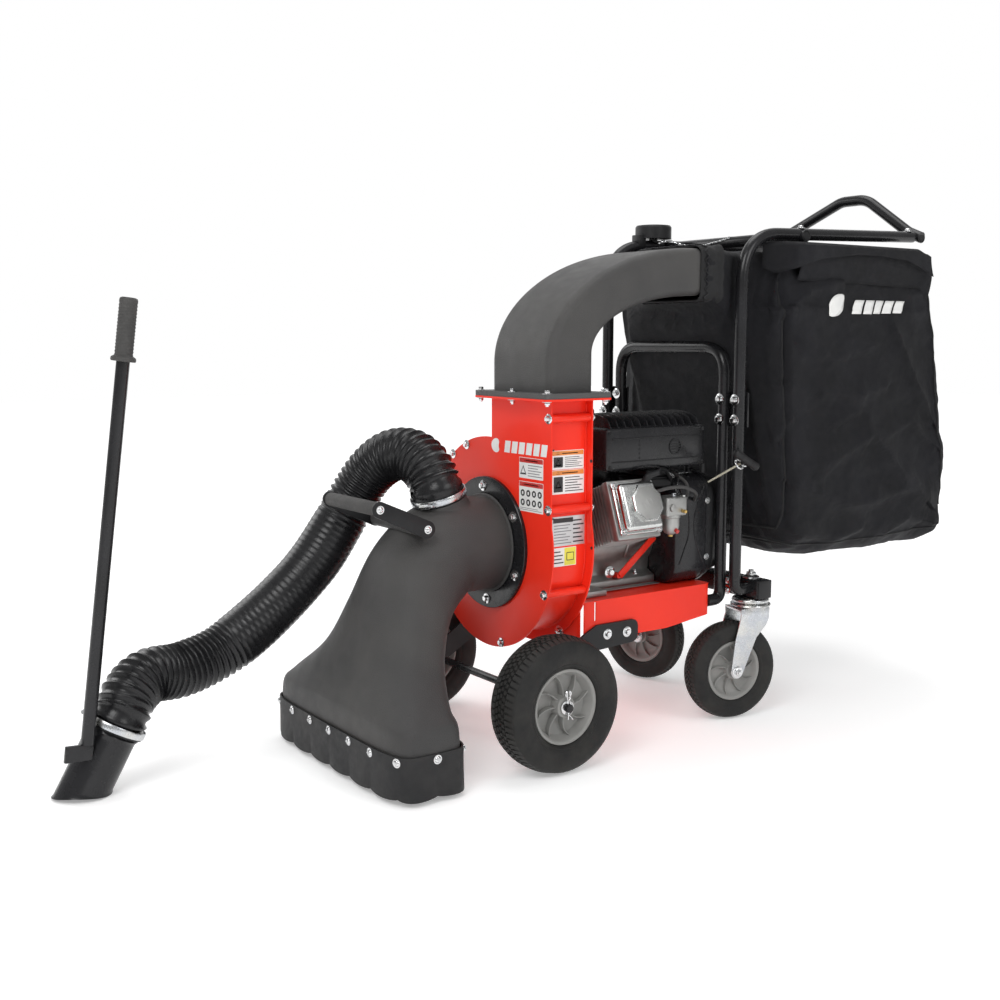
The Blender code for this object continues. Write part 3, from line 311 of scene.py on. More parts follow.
ROPE = surface(
    "rope", (0.60, 0.57, 0.46), 0.80, tint=(0.50, 0.47, 0.37), patch=90, grain=(("noise", 900, 0.0004),)
)
WHITE = surface("label_white", (0.80, 0.80, 0.78), 0.35, tint=(0.74, 0.74, 0.73), patch=30, Coat_Weight=0.4)
ORANGE = surface("label_orange", (0.80, 0.27, 0.04), 0.35, patch=30, Coat_Weight=0.4)
LABEL_RED = surface("label_red", (0.55, 0.035, 0.03), 0.35, patch=30, Coat_Weight=0.4)
YELLOW = surface("label_yellow", (0.80, 0.72, 0.05), 0.35, patch=30, Coat_Weight=0.4)
INK = surface("label_ink", (0.02, 0.02, 0.022), 0.5, patch=40)
PLATE_GREY = surface("label_grey", (0.22, 0.22, 0.23), 0.5, patch=40)
PLATE_SILVER = surface(
    "label_silver", (0.62, 0.63, 0.63), 0.38, 0.6, tint=(0.52, 0.53, 0.54), patch=20,
    grain=(("noise", 900, 0.00004),)
)


# ---- Shape helpers ----
def towards(direction, at=(0, 0, 0)):
    """The matrix that turns +Z to a direction and moves the origin to a point."""
    turn = Vector(direction).to_track_quat("Z", "Y").to_matrix().to_4x4()
    return Matrix.Translation(Vector(at)) @ turn


def link(name, mesh, material, body, replaces=(), sharp=35):
    """A finished mesh in the machine's frame becomes a piece that rides on a CAD body."""
    mesh.transform(SHIFT)
    mesh.shade_smooth()
    mesh.set_sharp_from_angle(angle=math.radians(sharp))
    made = bpy.data.objects.new(name, mesh)
    bpy.context.scene.collection.objects.link(made)
    mesh.materials.append(material)
    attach(made, body)
    if replaces:
        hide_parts(*replaces)
    return made


class Shape:
    """Solids of one material, in the machine's frame, that become one piece."""

    def __init__(self):
        self.mesh = bmesh.new()

    def bevel(self, faces, width, segments, corner=30):
        sharp = math.radians(corner)
        edges = {
            e for f in faces for e in f.edges if len(e.link_faces) == 2 and e.calc_face_angle(0.0) > sharp
        }
        bmesh.ops.bevel(
            self.mesh, geom=list(edges), offset=width, segments=segments, profile=0.5, affect="EDGES",
            clamp_overlap=True,
        )

    def box(self, low, high, round_by=0.0, matrix=None, segments=2):
        low, high = Vector(low), Vector(high)
        made = bmesh.ops.create_cube(self.mesh, size=1.0)["verts"]
        place = Matrix.Translation((low + high) / 2) @ Matrix.Diagonal((*(high - low), 1.0))
        bmesh.ops.transform(self.mesh, matrix=(matrix or Matrix()) @ place, verts=made)
        if round_by:
            self.bevel({f for v in made for f in v.link_faces}, round_by, segments)

    def rod(self, start, end, radius, end_radius=None, sides=28, round_by=0.0):
        start, end = Vector(start), Vector(end)
        made = bmesh.ops.create_cone(
            self.mesh, cap_ends=True, segments=sides, radius1=radius,
            radius2=radius if end_radius is None else end_radius, depth=(end - start).length,
        )["verts"]
        bmesh.ops.transform(self.mesh, matrix=towards(end - start, (start + end) / 2), verts=made)
        if round_by:
            self.bevel({f for v in made for f in v.link_faces}, round_by, 2, corner=50)

    def skin(self, rings, closed=True, caps=False, loop=False):
        """A skin over rings of points. closed joins each ring's ends, and loop joins the last ring to the first."""
        rows = [[self.mesh.verts.new(p) for p in ring] for ring in rings]
        pairs = list(zip(rows, rows[1:])) + ([(rows[-1], rows[0])] if loop else [])
        count = len(rows[0])
        made = []
        for low, high in pairs:
            for i in range(count if closed else count - 1):
                j = (i + 1) % count
                made.append(self.mesh.faces.new((low[i], low[j], high[j], high[i])))
        if caps:
            made.append(self.mesh.faces.new(list(reversed(rows[0]))))
            made.append(self.mesh.faces.new(rows[-1]))
        bmesh.ops.recalc_face_normals(self.mesh, faces=made)
        return rows

    def turned(self, profile, at, axis, steps=48, loop=False):
        """A profile of (radius, height) points turned about an axis, closed on its axis or as a ring."""
        place = towards(axis, at)
        rings = []
        for i in range(steps):
            a = math.tau * i / steps
            rings.append([place @ Vector((r * math.cos(a), r * math.sin(a), h)) for r, h in profile])
        rows = self.skin(rings, closed=loop, loop=True)
        touching = [v for row in rows for v, (r, h) in zip(row, profile) if r < 1e-6]
        if touching:
            bmesh.ops.remove_doubles(self.mesh, verts=touching, dist=1e-6)

    def tube(self, points, radius, sides=20, caps=True, squash=1.0):
        """A round tube along points, with a turn-free section."""
        points = [Vector(p) for p in points]
        rings = []
        side = None
        for i, point in enumerate(points):
            ahead = (points[min(i + 1, len(points) - 1)] - points[max(i - 1, 0)]).normalized()
            if side is None:
                side = ahead.orthogonal().normalized()
            side = (side - ahead * side.dot(ahead)).normalized()
            other = ahead.cross(side)
            r = radius(i / (len(points) - 1)) if callable(radius) else radius
            rings.append(
                [
                    point + side * math.cos(
                        math.tau * k / sides
                    ) * r + other * math.sin(math.tau * k / sides) * r * squash
                    for k in range(sides)
                ]
            )
        self.skin(rings, caps=caps)

    def slab(self, outline, thickness, matrix, round_by=0.0, holes=(), segments=2):
        """A flat plate from an outline of (u, v) points, centred on its plane."""
        if holes:
            curve = bpy.data.curves.new("slab", "CURVE")
            curve.dimensions, curve.fill_mode, curve.extrude = "2D", "BOTH", thickness / 2
            for ring in (outline, *holes):
                spline = curve.splines.new("POLY")
                spline.points.add(len(ring) - 1)
                for point, (u, v) in zip(spline.points, ring):
                    point.co = (u, v, 0.0, 1.0)
                spline.use_cyclic_u = True
            guide = bpy.data.objects.new("slab", curve)
            bpy.context.scene.collection.objects.link(guide)
            graph = bpy.context.evaluated_depsgraph_get()
            mesh = bpy.data.meshes.new_from_object(guide.evaluated_get(graph))
            bpy.data.objects.remove(guide)
            start = len(self.mesh.verts)
            self.mesh.from_mesh(mesh)
            self.mesh.verts.ensure_lookup_table()
            made = self.mesh.verts[start:]
            bmesh.ops.transform(self.mesh, matrix=matrix, verts=made)
            bmesh.ops.remove_doubles(self.mesh, verts=made, dist=1e-5)
            bpy.data.meshes.remove(mesh)
            return
        half = thickness / 2
        rows = self.skin(
            [[matrix @ Vector((u, v, z)) for u, v in outline] for z in (-half, half)], caps=True
        )
        if round_by:
            faces = {f for row in rows for v in row for f in v.link_faces}
            self.bevel(faces, round_by, segments, corner=60)

    def piece(self, name, material, body, slot, replaces=(), sharp=35):
        mesh = bpy.data.meshes.new(name)
        self.mesh.to_mesh(mesh)
        self.mesh.free()
        return link(name, mesh, material, body, replaces, sharp)


def mid(pair):
    return (pair[0] + pair[1]) / 2


def facing_y(y):
    """A plate's plane across the machine: its outline is (X, Z)."""
    return Matrix(((1, 0, 0, 0), (0, 0, -1, y), (0, 1, 0, 0), (0, 0, 0, 1)))


def facing_x(x):
    """A plate's plane along the machine: its outline is (Y, Z)."""
    return Matrix(((0, 0, 1, x), (1, 0, 0, 0), (0, 1, 0, 0), (0, 0, 0, 1)))


def facing_z(z):
    return Matrix.Translation((0, 0, z))


def arc(u, v, radius, start, end, count):
    """Points on an arc, with angles in degrees."""
    angles = [math.radians(start + (end - start) * i / count) for i in range(count + 1)]
    return [(u + radius * math.cos(a), v + radius * math.sin(a)) for a in angles]


def circle(u, v, radius, count=48):
    return arc(u, v, radius, 0, 360 - 360 / count, count - 1)


def rounded(low, high, radius, count=6):
    """The outline of a rectangle with round corners."""
    (u0, v0), (u1, v1) = low, high
    r = radius
    return (
        arc(u1 - r, v0 + r, r, -90, 0, count)
        + arc(u1 - r, v1 - r, r, 0, 90, count)
        + arc(u0 + r, v1 - r, r, 90, 180, count)
        + arc(u0 + r, v0 + r, r, 180, 270, count)
    )


def evened(outline, count):
    """A closed outline with its points a constant distance apart."""
    points = np.array(list(outline) + [outline[0]])
    run = np.concatenate(([0.0], np.cumsum(np.linalg.norm(np.diff(points, axis=0), axis=1))))
    even = np.linspace(0.0, run[-1], count, endpoint=False)
    return np.stack([np.interp(even, run, points[:, k]) for k in (0, 1)], axis=1)


def girth(outline):
    """The length once round a closed outline."""
    points = np.array(list(outline) + [outline[0]])
    return np.linalg.norm(np.diff(points, axis=0), axis=1).sum()


def bent(points, radius, count=10):
    """A line of straight runs with each corner rounded."""
    points = [Vector(p) for p in points]
    made = [points[0]]
    for before, corner, after in zip(points, points[1:], points[2:]):
        into = (before - corner).normalized()
        out = (after - corner).normalized()
        half = into.angle(out) / 2
        reach = min(radius / math.tan(half), (before - corner).length / 2.1, (after - corner).length / 2.1)
        start, end = corner + into * reach, corner + out * reach
        for i in range(count + 1):
            t = i / count
            made.append(start * (1 - t) ** 2 + corner * 2 * t * (1 - t) + end * t**2)
    return made + [points[-1]]


def flowing(points, spacing):
    """A smooth curve through the points (Catmull-Rom), with a point every spacing."""
    points = [Vector(p) for p in points]
    ends = [2 * points[0] - points[1]] + points + [2 * points[-1] - points[-2]]
    fine = []
    for a, b, c, d in zip(ends, ends[1:], ends[2:], ends[3:]):
        for i in range(24):
            t = i / 24
            slope, bend, twist = c - a, 2 * a - 5 * b + 4 * c - d, 3 * b - a - 3 * c + d
            fine.append(0.5 * (2 * b + slope * t + bend * t**2 + twist * t**3))
    fine.append(points[-1])
    fine = np.array(fine)
    lengths = np.concatenate(([0.0], np.cumsum(np.linalg.norm(np.diff(fine, axis=0), axis=1))))
    wanted = np.linspace(0.0, lengths[-1], round(lengths[-1] / spacing) + 1)
    return [Vector(p) for p in np.stack([np.interp(wanted, lengths, fine[:, k]) for k in range(3)], axis=1)]


def blend_rows(rows, share):
    """A row of numbers between the stations in rows, on a smooth curve, at share from 0 to 1."""
    at = share * (len(rows) - 1)
    i = min(int(at), len(rows) - 2)
    t = at - i
    a, b, c, d = (rows[max(0, min(len(rows) - 1, j))] for j in (i - 1, i, i + 1, i + 2))
    return [
        0.5 * (2 * q + (r - p) * t + (2 * p - 5 * q + 4 * r - s) * t**2 + (3 * q - p - 3 * r + s) * t**3)
        for p, q, r, s in zip(a, b, c, d)
    ]


def bolt(shape, at, axis, across, nut=False, washer=True, stub=0.0):
    """A hex bolt head, or a nut with its screw's end, on a washer. across is the distance over its flats."""
    axis = Vector(axis).normalized()
    at = Vector(at)
    height = across * 0.55
    if washer:
        shape.rod(at - axis * 0.0002, at + axis * across * 0.12, across * 0.98, sides=28, round_by=0.0003)
        at = at + axis * across * 0.12
    shape.rod(at, at + axis * height, across * 0.577, sides=6, round_by=across * 0.06)
    if nut:
        shape.rod(
            at, at + axis * (height + (stub or across * 0.25)), across * 0.30, sides=16, round_by=0.0004
        )
    else:
        shape.turned(
            [
                (0.0, height + across * 0.05), (across * 0.40, height + across * 0.03),
                (across * 0.46, height * 0.9)
            ],
            at, axis, steps=24,
        )


def dome_screw(shape, at, axis, radius, slots=2):
    """A domed screw with a washer face and a cross of slots in relief."""
    axis = Vector(axis).normalized()
    profile = [(radius * 1.35, 0.0), (radius * 1.35, radius * 0.18), (radius, radius * 0.2)]
    profile += [(radius * math.cos(a), radius * (0.2 + 0.55 * math.sin(a))) for a in (0.4, 0.8, 1.15, 1.4)]
    shape.turned(profile + [(0.0, radius * 0.76)], at, axis, steps=24)
    place = towards(axis, Vector(at) + axis * radius * 0.70)
    for i in range(slots):
        turn = place @ Matrix.Rotation(math.pi * i / slots, 4, "Z")
        shape.box(
            (-radius * 0.6, -radius * 0.11, 0), (radius * 0.6, radius * 0.11, radius * 0.13), matrix=turn
        )


# ---- Hose and its clamps ----
HOSE_RADIUS = 0.0525
PORT = Vector((0.0, -0.100, 0.490))
PORT_TILT = math.radians(17.0)
PORT_AXIS = Vector((0.0, -math.sin(PORT_TILT), math.cos(PORT_TILT)))
NOZZLE_TOP = Vector((-0.140, -0.710, 0.110))
NOZZLE_AXIS = Vector((-0.040, -0.478, -0.877)).normalized()
NOZZLE_RADIUS = 0.045

# The free hose from the hood's port to the hand nozzle, through the listed points.
HOSE_ROUTE = (
    (0.0000, -0.10214, 0.49698),
    (0.0000, -0.10681, 0.51228),
    (0.0000, -0.11149, 0.52758),
    (-0.022, -0.118, 0.560),
    (-0.062, -0.129, 0.581),
    (-0.107, -0.146, 0.577),
    (-0.146, -0.167, 0.548),
    (-0.172, -0.190, 0.502),
    (-0.190, -0.222, 0.440),
    (-0.200, -0.280, 0.357),
    (-0.205, -0.370, 0.275),
    (-0.201, -0.470, 0.212),
    (-0.190, -0.560, 0.188),
    (-0.172, -0.632, 0.190),
    (-0.151, -0.674, 0.168),
    (-0.13860, -0.69326, 0.14071),
    (-0.13930, -0.70162, 0.12537),
    (-0.13998, -0.70971, 0.11053),
)
RIB_PITCH = 0.0128
RIB_DEPTH = 0.0068


def ease(value, low, high):
    """0 below low, 1 above high, and a smooth rise between."""
    t = min(max((value - low) / (high - low), 0.0), 1.0)
    return t * t * (3 - 2 * t)


def hose_mesh():
    """A bellows hose, whose ribs are deep where it is pushed together and shallow where it is stretched."""
    steps_per_rib, sides = 8, 56
    line = flowing(HOSE_ROUTE, RIB_PITCH / steps_per_rib)
    total = (len(line) - 1) * RIB_PITCH / steps_per_rib
    rings = []
    side = Vector((1, 0, 0))
    for i, point in enumerate(line):
        run = i * RIB_PITCH / steps_per_rib
        ahead = (line[min(i + 1, len(line) - 1)] - line[max(i - 1, 0)]).normalized()
        side = (side - ahead * side.dot(ahead)).normalized()
        other = ahead.cross(side)
        pulled = ease(run, 0.31, 0.36) * (1 - ease(run, total - 0.33, total - 0.27))
        depth = RIB_DEPTH * (1 - pulled) + 0.0008 * pulled
        cuff = 1 - ease(run, 0.020, 0.028) * (1 - ease(run, total - 0.020, total - 0.010))
        depth = depth * (1 - cuff) + 0.0006 * cuff
        phase = run / RIB_PITCH + 0.12 * noise.noise(point * 9.0)
        peak = abs(math.sin(math.pi * phase)) ** 0.8
        swell = 0.0012 * noise.noise(point * 14.0) * pulled
        radius = HOSE_RADIUS + 0.0004 - depth * peak + swell
        rings.append(
            [
                point
                + (side * math.cos(math.tau * k / sides) + other * math.sin(math.tau * k / sides)) * radius
                for k in range(sides)
            ]
        )
    shape = Shape()
    shape.skin(rings, caps=True)
    return shape, line


def clamp(name, at, axis, screw_at, replaces):
    """A worm-drive clamp: a slotted steel band with a screw housing."""
    axis = axis.normalized()
    shape = Shape()
    inner, outer, width = HOSE_RADIUS + 0.0014, HOSE_RADIUS + 0.0026, 0.0125
    band = [
        (inner, 0.0), (outer, 0.0), (outer + 0.0006, 0.001), (outer + 0.0006, width - 0.001), (outer, width)
    ]
    shape.turned(band + [(inner, width)], at, axis, steps=72, loop=True)
    place = towards(axis, at)
    for i in range(40):
        if i % 40 < 22:
            turn = place @ Matrix.Rotation(math.radians(screw_at + 30 + i * 5), 4, "Z")
            shape.box((outer + 0.0003, -0.0006, 0.003), (outer + 0.0009, 0.0006, width - 0.003), matrix=turn)
    turn = place @ Matrix.Rotation(math.radians(screw_at), 4, "Z")
    shape.box((outer - 0.0005, -0.0105, 0.0005), (outer + 0.0068, 0.0105, width - 0.0005), 0.0018, turn)
    end = turn @ Vector((outer + 0.0035, 0.0105, width / 2))
    other = turn @ Vector((outer + 0.0035, -0.0120, width / 2))
    shape.rod(other, end + (end - other).normalized() * 0.006, 0.0036, sides=20, round_by=0.0005)
    shape.rod(
        end + (end - other).normalized() * 0.004, end + (end - other).normalized() * 0.0085, 0.0048, sides=6
    )
    return shape.piece(name, ZINC, "chassis", "zinc_plate", [replaces])


hose_shape, hose_line = hose_mesh()
hose = hose_shape.piece("ribbed_hose", HOSE, "chassis", "hose_plastic", ["hose"], sharp=70)
clamps = [
    clamp("clamp_upper", PORT + PORT_AXIS * 0.0095, PORT_AXIS, -60, "hose_clamp_upper"),
    clamp("clamp_lower", NOZZLE_TOP - NOZZLE_AXIS * 0.0040, -NOZZLE_AXIS, 60, "hose_clamp_lower"),
]


# ---- Wheels ----
FRONT_RADIUS, FRONT_WIDTH, FRONT_RIM = 0.130, 0.085, 0.072
CASTER_RADIUS, CASTER_WIDTH, CASTER_RIM = 0.105, 0.048, 0.064


def tyre(name, at, axis, radius, width, rim, pitches, body, node):
    """A tyre with a ringed sidewall and rows of tread blocks."""
    half, wall = width / 2, radius - rim
    sidewall = [
        (0.007, 0.72), (0.040, 0.81), (0.100, 0.88), (0.125, 0.875), (0.155, 0.90), (0.180, 0.892),
        (0.210, 0.922),
        (0.330, 0.975), (0.470, 1.0), (0.620, 0.995), (0.720, 0.965), (0.810, 0.915), (0.870, 0.850),
        (0.905, 0.770),
        (0.930, 0.580), (0.940, 0.300), (0.942, 0.0),
    ]
    side = [(rim + wall * r, half * w) for r, w in sidewall]
    profile = side + [(r, -h) for r, h in reversed(side[:-1])]
    shape = Shape()
    shape.turned(profile, at, axis, steps=112, loop=True)
    place = towards(axis, at)

    def crown(across):
        return radius - wall * 0.10 * (abs(across) / 0.80) ** 2.6

    rows = ((0.34, 0.80, 0.0, 0.80), (0.115, 0.30, 0.5, 0.70), (-0.085, 0.085, 0.0, 0.66))
    rows += tuple((-b, -a, shift, fill) for a, b, shift, fill in rows[:2])
    turn = math.tau / pitches
    for i in range(pitches):
        for low, high, shift, fill in rows:
            middle = (i + shift) * turn
            corners = []
            for top, spread, inset in ((False, 0.56, -0.004), (True, 0.44, 0.012)):
                for across, twist in ((low + inset, -0.10), (high - inset, 0.10)):
                    reach = crown(across) - (0 if top else wall * 0.115)
                    for side_of in (-1, 1):
                        a = middle + turn * (fill * spread * side_of + twist * (1 if across > 0 else -1))
                        corners.append(
                            place @ Vector((reach * math.cos(a), reach * math.sin(a), half * across))
                        )
            v = [shape.mesh.verts.new(c) for c in corners]
            for quad in ((0, 1, 3, 2), (4, 6, 7, 5), (0, 4, 5, 1), (2, 3, 7, 6), (0, 2, 6, 4), (1, 5, 7, 3)):
                shape.mesh.faces.new([v[k] for k in quad])
    bmesh.ops.recalc_face_normals(shape.mesh, faces=shape.mesh.faces)
    return shape.piece(name, TYRE, body, "tyre_rubber", [node])


def rim(name, at, axis, radius, width, bore, ribs, body, node):
    """A moulded rim: lip, dish, web, hub and swept ribs on both faces."""
    half = width / 2
    hub = bore + 0.0118
    side = [
        (radius + 0.0002, 0.60), (radius + 0.0002, 0.72), (radius - 0.0006, 0.765), (radius - 0.0038, 0.775),
        (radius - 0.0062, 0.745), (radius - 0.0078, 0.68), (radius - 0.0120, 0.36), (radius - 0.0150, 0.27),
        (radius - 0.0220, 0.235), (hub + 0.0060, 0.235), (hub + 0.0015, 0.27), (hub + 0.0004, 0.34),
        (hub, 0.76), (hub - 0.0010, 0.785), (hub - 0.0045, 0.785), (hub - 0.0050, 0.770),
        (hub - 0.0085, 0.770),
        (bore + 0.0012, 0.80), (bore, 0.79),
    ]
    profile = [(r, half * w) for r, w in side] + [(r, -half * w) for r, w in reversed(side)]
    shape = Shape()
    shape.turned(profile, at, axis, steps=96, loop=True)
    place = towards(axis, at)
    start, end = hub - 0.001, radius - 0.0095
    steps = 8
    for face in (-1, 1):
        for i in range(ribs):
            rings = []
            for k in range(steps + 1):
                t = k / steps
                r = start + (end - start) * t
                a = math.tau * i / ribs + 0.30 * t * t
                along, across = Vector((math.cos(a), math.sin(a), 0)), Vector((-math.sin(a), math.cos(a), 0))
                low, high = half * 0.18, half * (0.60 - 0.16 * t + 0.10 * t**6)
                thick = 0.0011 + 0.0007 * abs(2 * t - 1) ** 3
                ring = [
                    along * r + across * thick * 1.2 + UP * low,
                    along * r + across * thick + UP * (high - 0.0008),
                    along * r + across * thick * 0.4 + UP * high,
                    along * r - across * thick * 0.4 + UP * high,
                    along * r - across * thick + UP * (high - 0.0008),
                    along * r - across * thick * 1.2 + UP * low,
                ]
                rings.append([place @ Vector((p.x, p.y, p.z * face)) for p in ring])
            shape.skin(rings, caps=True)
    return shape.piece(name, GREY, body, "grey_plastic", [node])


def front_axle():
    """The axle, with a washer and a spring clip at each end."""
    end = 0.2854
    bar = Shape()
    bar.rod((-end, 0, 0.130), (end, 0, 0.130), 0.0080, round_by=0.0010)
    bar.piece("axle_bar", BLACK, "chassis", "black_paint", ["front_axle"])
    clips = Shape()
    for sign in (-1, 1):
        x = sign * 0.2790
        clips.rod((sign * 0.2738, 0, 0.130), (sign * 0.2756, 0, 0.130), 0.0135, sides=36, round_by=0.0003)
        loop = [(0.0062 * math.sin(a), 0.1565 - 0.0062 * math.cos(a)) for a in np.linspace(-2.7, 2.7, 18)]
        bow = [(0.0045, 0.1485), (0.0018, 0.1445), (0.0080, 0.1390), (0.0112, 0.1300), (0.0085, 0.1215)]
        bow += [(0.0030, 0.1165), (0.0075, 0.1105), (0.0110, 0.1060)]
        pin = [(-0.0026, 0.1500), (-0.0008, 0.1440), (0.0, 0.1300), (0.0, 0.1080)]
        route = [(x, y, z) for y, z in list(reversed(pin)) + loop + bow]
        clips.tube(flowing(route, 0.0016), 0.0012, sides=10)
    clips.piece("axle_clips", CHROME, "chassis", "zinc_plate")


def wheels():
    for side, sign in (("left", 1), ("right", -1)):
        at, axis = (sign * 0.240, 0, 0.130), (sign, 0, 0)
        body = f"front_{side}_wheel"
        tyre(
            f"tyre_front_{side}", at, axis, FRONT_RADIUS, FRONT_WIDTH, FRONT_RIM, 66, body,
            f"front_{side}_tyre"
        )
        rim(f"rim_front_{side}", at, axis, FRONT_RIM, FRONT_WIDTH, 0.0084, 8, body, f"front_{side}_rim")
    front_axle()


wheels()


# ---- Casters ----
CASTER_Y, CASTER_X, CASTER_TRAIL = 0.560, 0.200, 0.050
CASTER_TURN = {"left": -12.0, "right": 105.0}
BEAM_LOW, BEAM_TOP, BEAM_HALF = 0.260, 0.300, 0.241


def caster(side, x, turn):
    a = math.radians(turn)
    ahead, across = Vector((math.sin(a), -math.cos(a), 0)), Vector((math.cos(a), math.sin(a), 0))
    stem = Vector((x, CASTER_Y, 0))
    hub = stem + ahead * CASTER_TRAIL + UP * CASTER_RADIUS
    out = across if side == "left" else -across
    body = f"caster_{side}_wheel"
    tyre(
        f"tyre_caster_{side}", hub, out, CASTER_RADIUS, CASTER_WIDTH, CASTER_RIM, 62, body,
        f"caster_{side}_tyre"
    )
    rim(f"rim_caster_{side}", hub, out, CASTER_RIM, CASTER_WIDTH, 0.0064, 9, body, f"caster_{side}_rim")

    cup = Shape()
    cup.turned(
        [
            (0.0, 0.3135), (0.0058, 0.3135), (0.0062, 0.3125), (0.0062, 0.3095), (0.0180, 0.3030),
            (0.0180, 0.3004),
            (0.0080, 0.3004), (0.0080, 0.2596), (0.0330, 0.2596), (0.0365, 0.2585), (0.0395, 0.2555),
            (0.0402, 0.2530), (0.0395, 0.2505), (0.0370, 0.2490), (0.0355, 0.2480), (0.0, 0.2480),
        ],
        stem, UP, steps=64,
    )
    bolt(cup, stem + UP * 0.3020, UP, 0.0190, nut=True, washer=False)
    cup.piece(f"swivel_cup_{side}", ZINC, "chassis", "zinc_plate", [f"caster_stem_{side}"])

    fork = Shape()
    fork.turned(
        [
            (0.0, 0.2476), (0.0350, 0.2476), (0.0360, 0.2468), (0.0395, 0.2466), (0.0425, 0.2455),
            (0.0432, 0.2435),
            (0.0425, 0.2415), (0.0380, 0.2395), (0.0355, 0.2340), (0.0, 0.2335),
        ],
        stem, UP, steps=64,
    )
    leg_gap = CASTER_WIDTH / 2 + 0.004
    outline = (
        [(-0.0285, 0.2390), (-0.0275, 0.2160), (-0.0205, 0.2010), (0.0030, 0.1760)]
        + arc(CASTER_TRAIL, CASTER_RADIUS, 0.0150, 196, 378, 14)
        + [(0.0560, 0.1740), (0.0470, 0.2080), (0.0430, 0.2230), (0.0440, 0.2390)]
    )
    sides = Matrix(((*ahead, 0), (0, 0, 1, 0), (*across, 0), (0, 0, 0, 1))).transposed()
    for s in (-1, 1):
        place = Matrix.Translation(stem + across * s * (leg_gap + 0.0015)) @ sides
        fork.slab(outline, 0.0032, place, round_by=0.0009)
    turned_to = Matrix.Translation(stem) @ Matrix.Rotation(a, 4, "Z")
    fork.box((-leg_gap - 0.0030, -0.0440, 0.2330), (leg_gap + 0.0030, 0.0285, 0.2392), 0.0018, turned_to)
    fork.rod(hub - across * (leg_gap + 0.006), hub + across * (leg_gap + 0.006), 0.0060)
    fork.piece(f"fork_{side}", ZINC, f"caster_{side}_swivel", "zinc_plate", [f"caster_fork_{side}"])
    ends = Shape()
    for s in (-1, 1):
        bolt(
            ends, hub + across * s * (leg_gap + 0.0032), across * s, 0.0130,
            nut=s * (1 if side == "left" else -1) > 0
        )
    ends.piece(f"fork_bolts_{side}", CHROME, f"caster_{side}_swivel", "zinc_plate")


caster("left", CASTER_X, CASTER_TURN["left"])
caster("right", -CASTER_X, CASTER_TURN["right"])


def caster_beam():
    beam = Shape()
    low, high = (
        -BEAM_HALF + 0.003, CASTER_Y - 0.020, BEAM_LOW
    ), (BEAM_HALF - 0.003, CASTER_Y + 0.020, BEAM_TOP)
    beam.box(low, high, 0.0040, segments=3)
    beam.piece("rear_beam", BLACK, "chassis", "black_paint", ["caster_beam"])
    plugs, bolts = Shape(), Shape()
    for sign in (-1, 1):
        x = sign * (BEAM_HALF - 0.0030)
        plugs.box(
            (min(x, x + sign * 0.0035), CASTER_Y - 0.0195, BEAM_LOW + 0.0005),
            (max(x, x + sign * 0.0035), CASTER_Y + 0.0195, BEAM_TOP - 0.0005), 0.0028, segments=3,
        )
        for z in (0.268, 0.292):
            bolt(bolts, (sign * 0.150, CASTER_Y - 0.020, z), -ALONG_Y, 0.0110)
    plugs.piece("beam_plugs", MOULDED, "chassis", "black_plastic")
    bolts.piece("beam_bolts", CHROME, "chassis", "zinc_plate")


caster_beam()


# ---- Hood ----
# Stations up the hood: (Y, Z, tilt in degrees, half width, half depth, squareness).
HOOD = (
    (-0.272, 0.050, 0, 0.2505, 0.0735, 6.0),
    (-0.272, 0.120, 0, 0.2500, 0.0730, 5.5),
    (-0.266, 0.150, 0, 0.2280, 0.0700, 4.0),
    (-0.232, 0.212, 4, 0.1620, 0.0710, 3.0),
    (-0.196, 0.292, 12, 0.1230, 0.0770, 2.6),
    (-0.152, 0.358, 36, 0.1010, 0.0920, 2.4),
    (-0.100, 0.400, 66, 0.0950, 0.0960, 2.1),
    (-0.045, 0.4035, 90, 0.0945, 0.0945, 2.0),
    (0.0130, 0.4030, 90, 0.0945, 0.0945, 2.0),
)
HOOD_WALL = 0.004
HANDLE_PIVOT = Vector((0.0, -0.190, 0.458))


def squircle(half_u, half_v, power, count, seam=0.0):
    """An outline between an ellipse (power 2) and a rectangle (large power), with a ridge at each side."""
    made = []
    for i in range(count):
        a = math.tau * i / count
        c, s = math.cos(a), math.sin(a)
        ridge = seam * max(0.0, 1 - min(abs(s), 1) * count / 7)
        u = (half_u + ridge) * math.copysign(abs(c) ** (2 / power), c)
        v = half_v * math.copysign(abs(s) ** (2 / power), s)
        made.append((u, v))
    return made


def hood_rings(inset, reach, count=112, steps=72, seam=0.0):
    rings = []
    for i in range(steps + 1):
        y, z, tilt, half_x, half_depth, power = blend_rows(HOOD, i / steps)
        z -= reach if i == 0 else 0.0
        y += reach if i == steps else 0.0
        t = math.radians(tilt)
        rings.append(
            [
                (u, y - v * math.cos(t), z + v * math.sin(t))
                for u, v in squircle(half_x - inset, half_depth - inset, power, count, seam)
            ]
        )
    return rings


def cut_mesh(base, steps):
    """Joins or cuts a shape with others, exactly; steps are (operation, shape)."""
    scene = bpy.context.scene.collection
    mesh = bpy.data.meshes.new("solid")
    base.mesh.to_mesh(mesh)
    solid = bpy.data.objects.new("solid", mesh)
    scene.objects.link(solid)
    others = []
    for operation, shape in steps:
        other_mesh = bpy.data.meshes.new("other")
        shape.mesh.to_mesh(other_mesh)
        other = bpy.data.objects.new("other", other_mesh)
        scene.objects.link(other)
        others.append(other)
        modifier = solid.modifiers.new("join", "BOOLEAN")
        modifier.operation, modifier.object = operation, other
    graph = bpy.context.evaluated_depsgraph_get()
    made = bpy.data.meshes.new_from_object(solid.evaluated_get(graph))
    for o in (solid, *others):
        bpy.data.objects.remove(o)
    return made


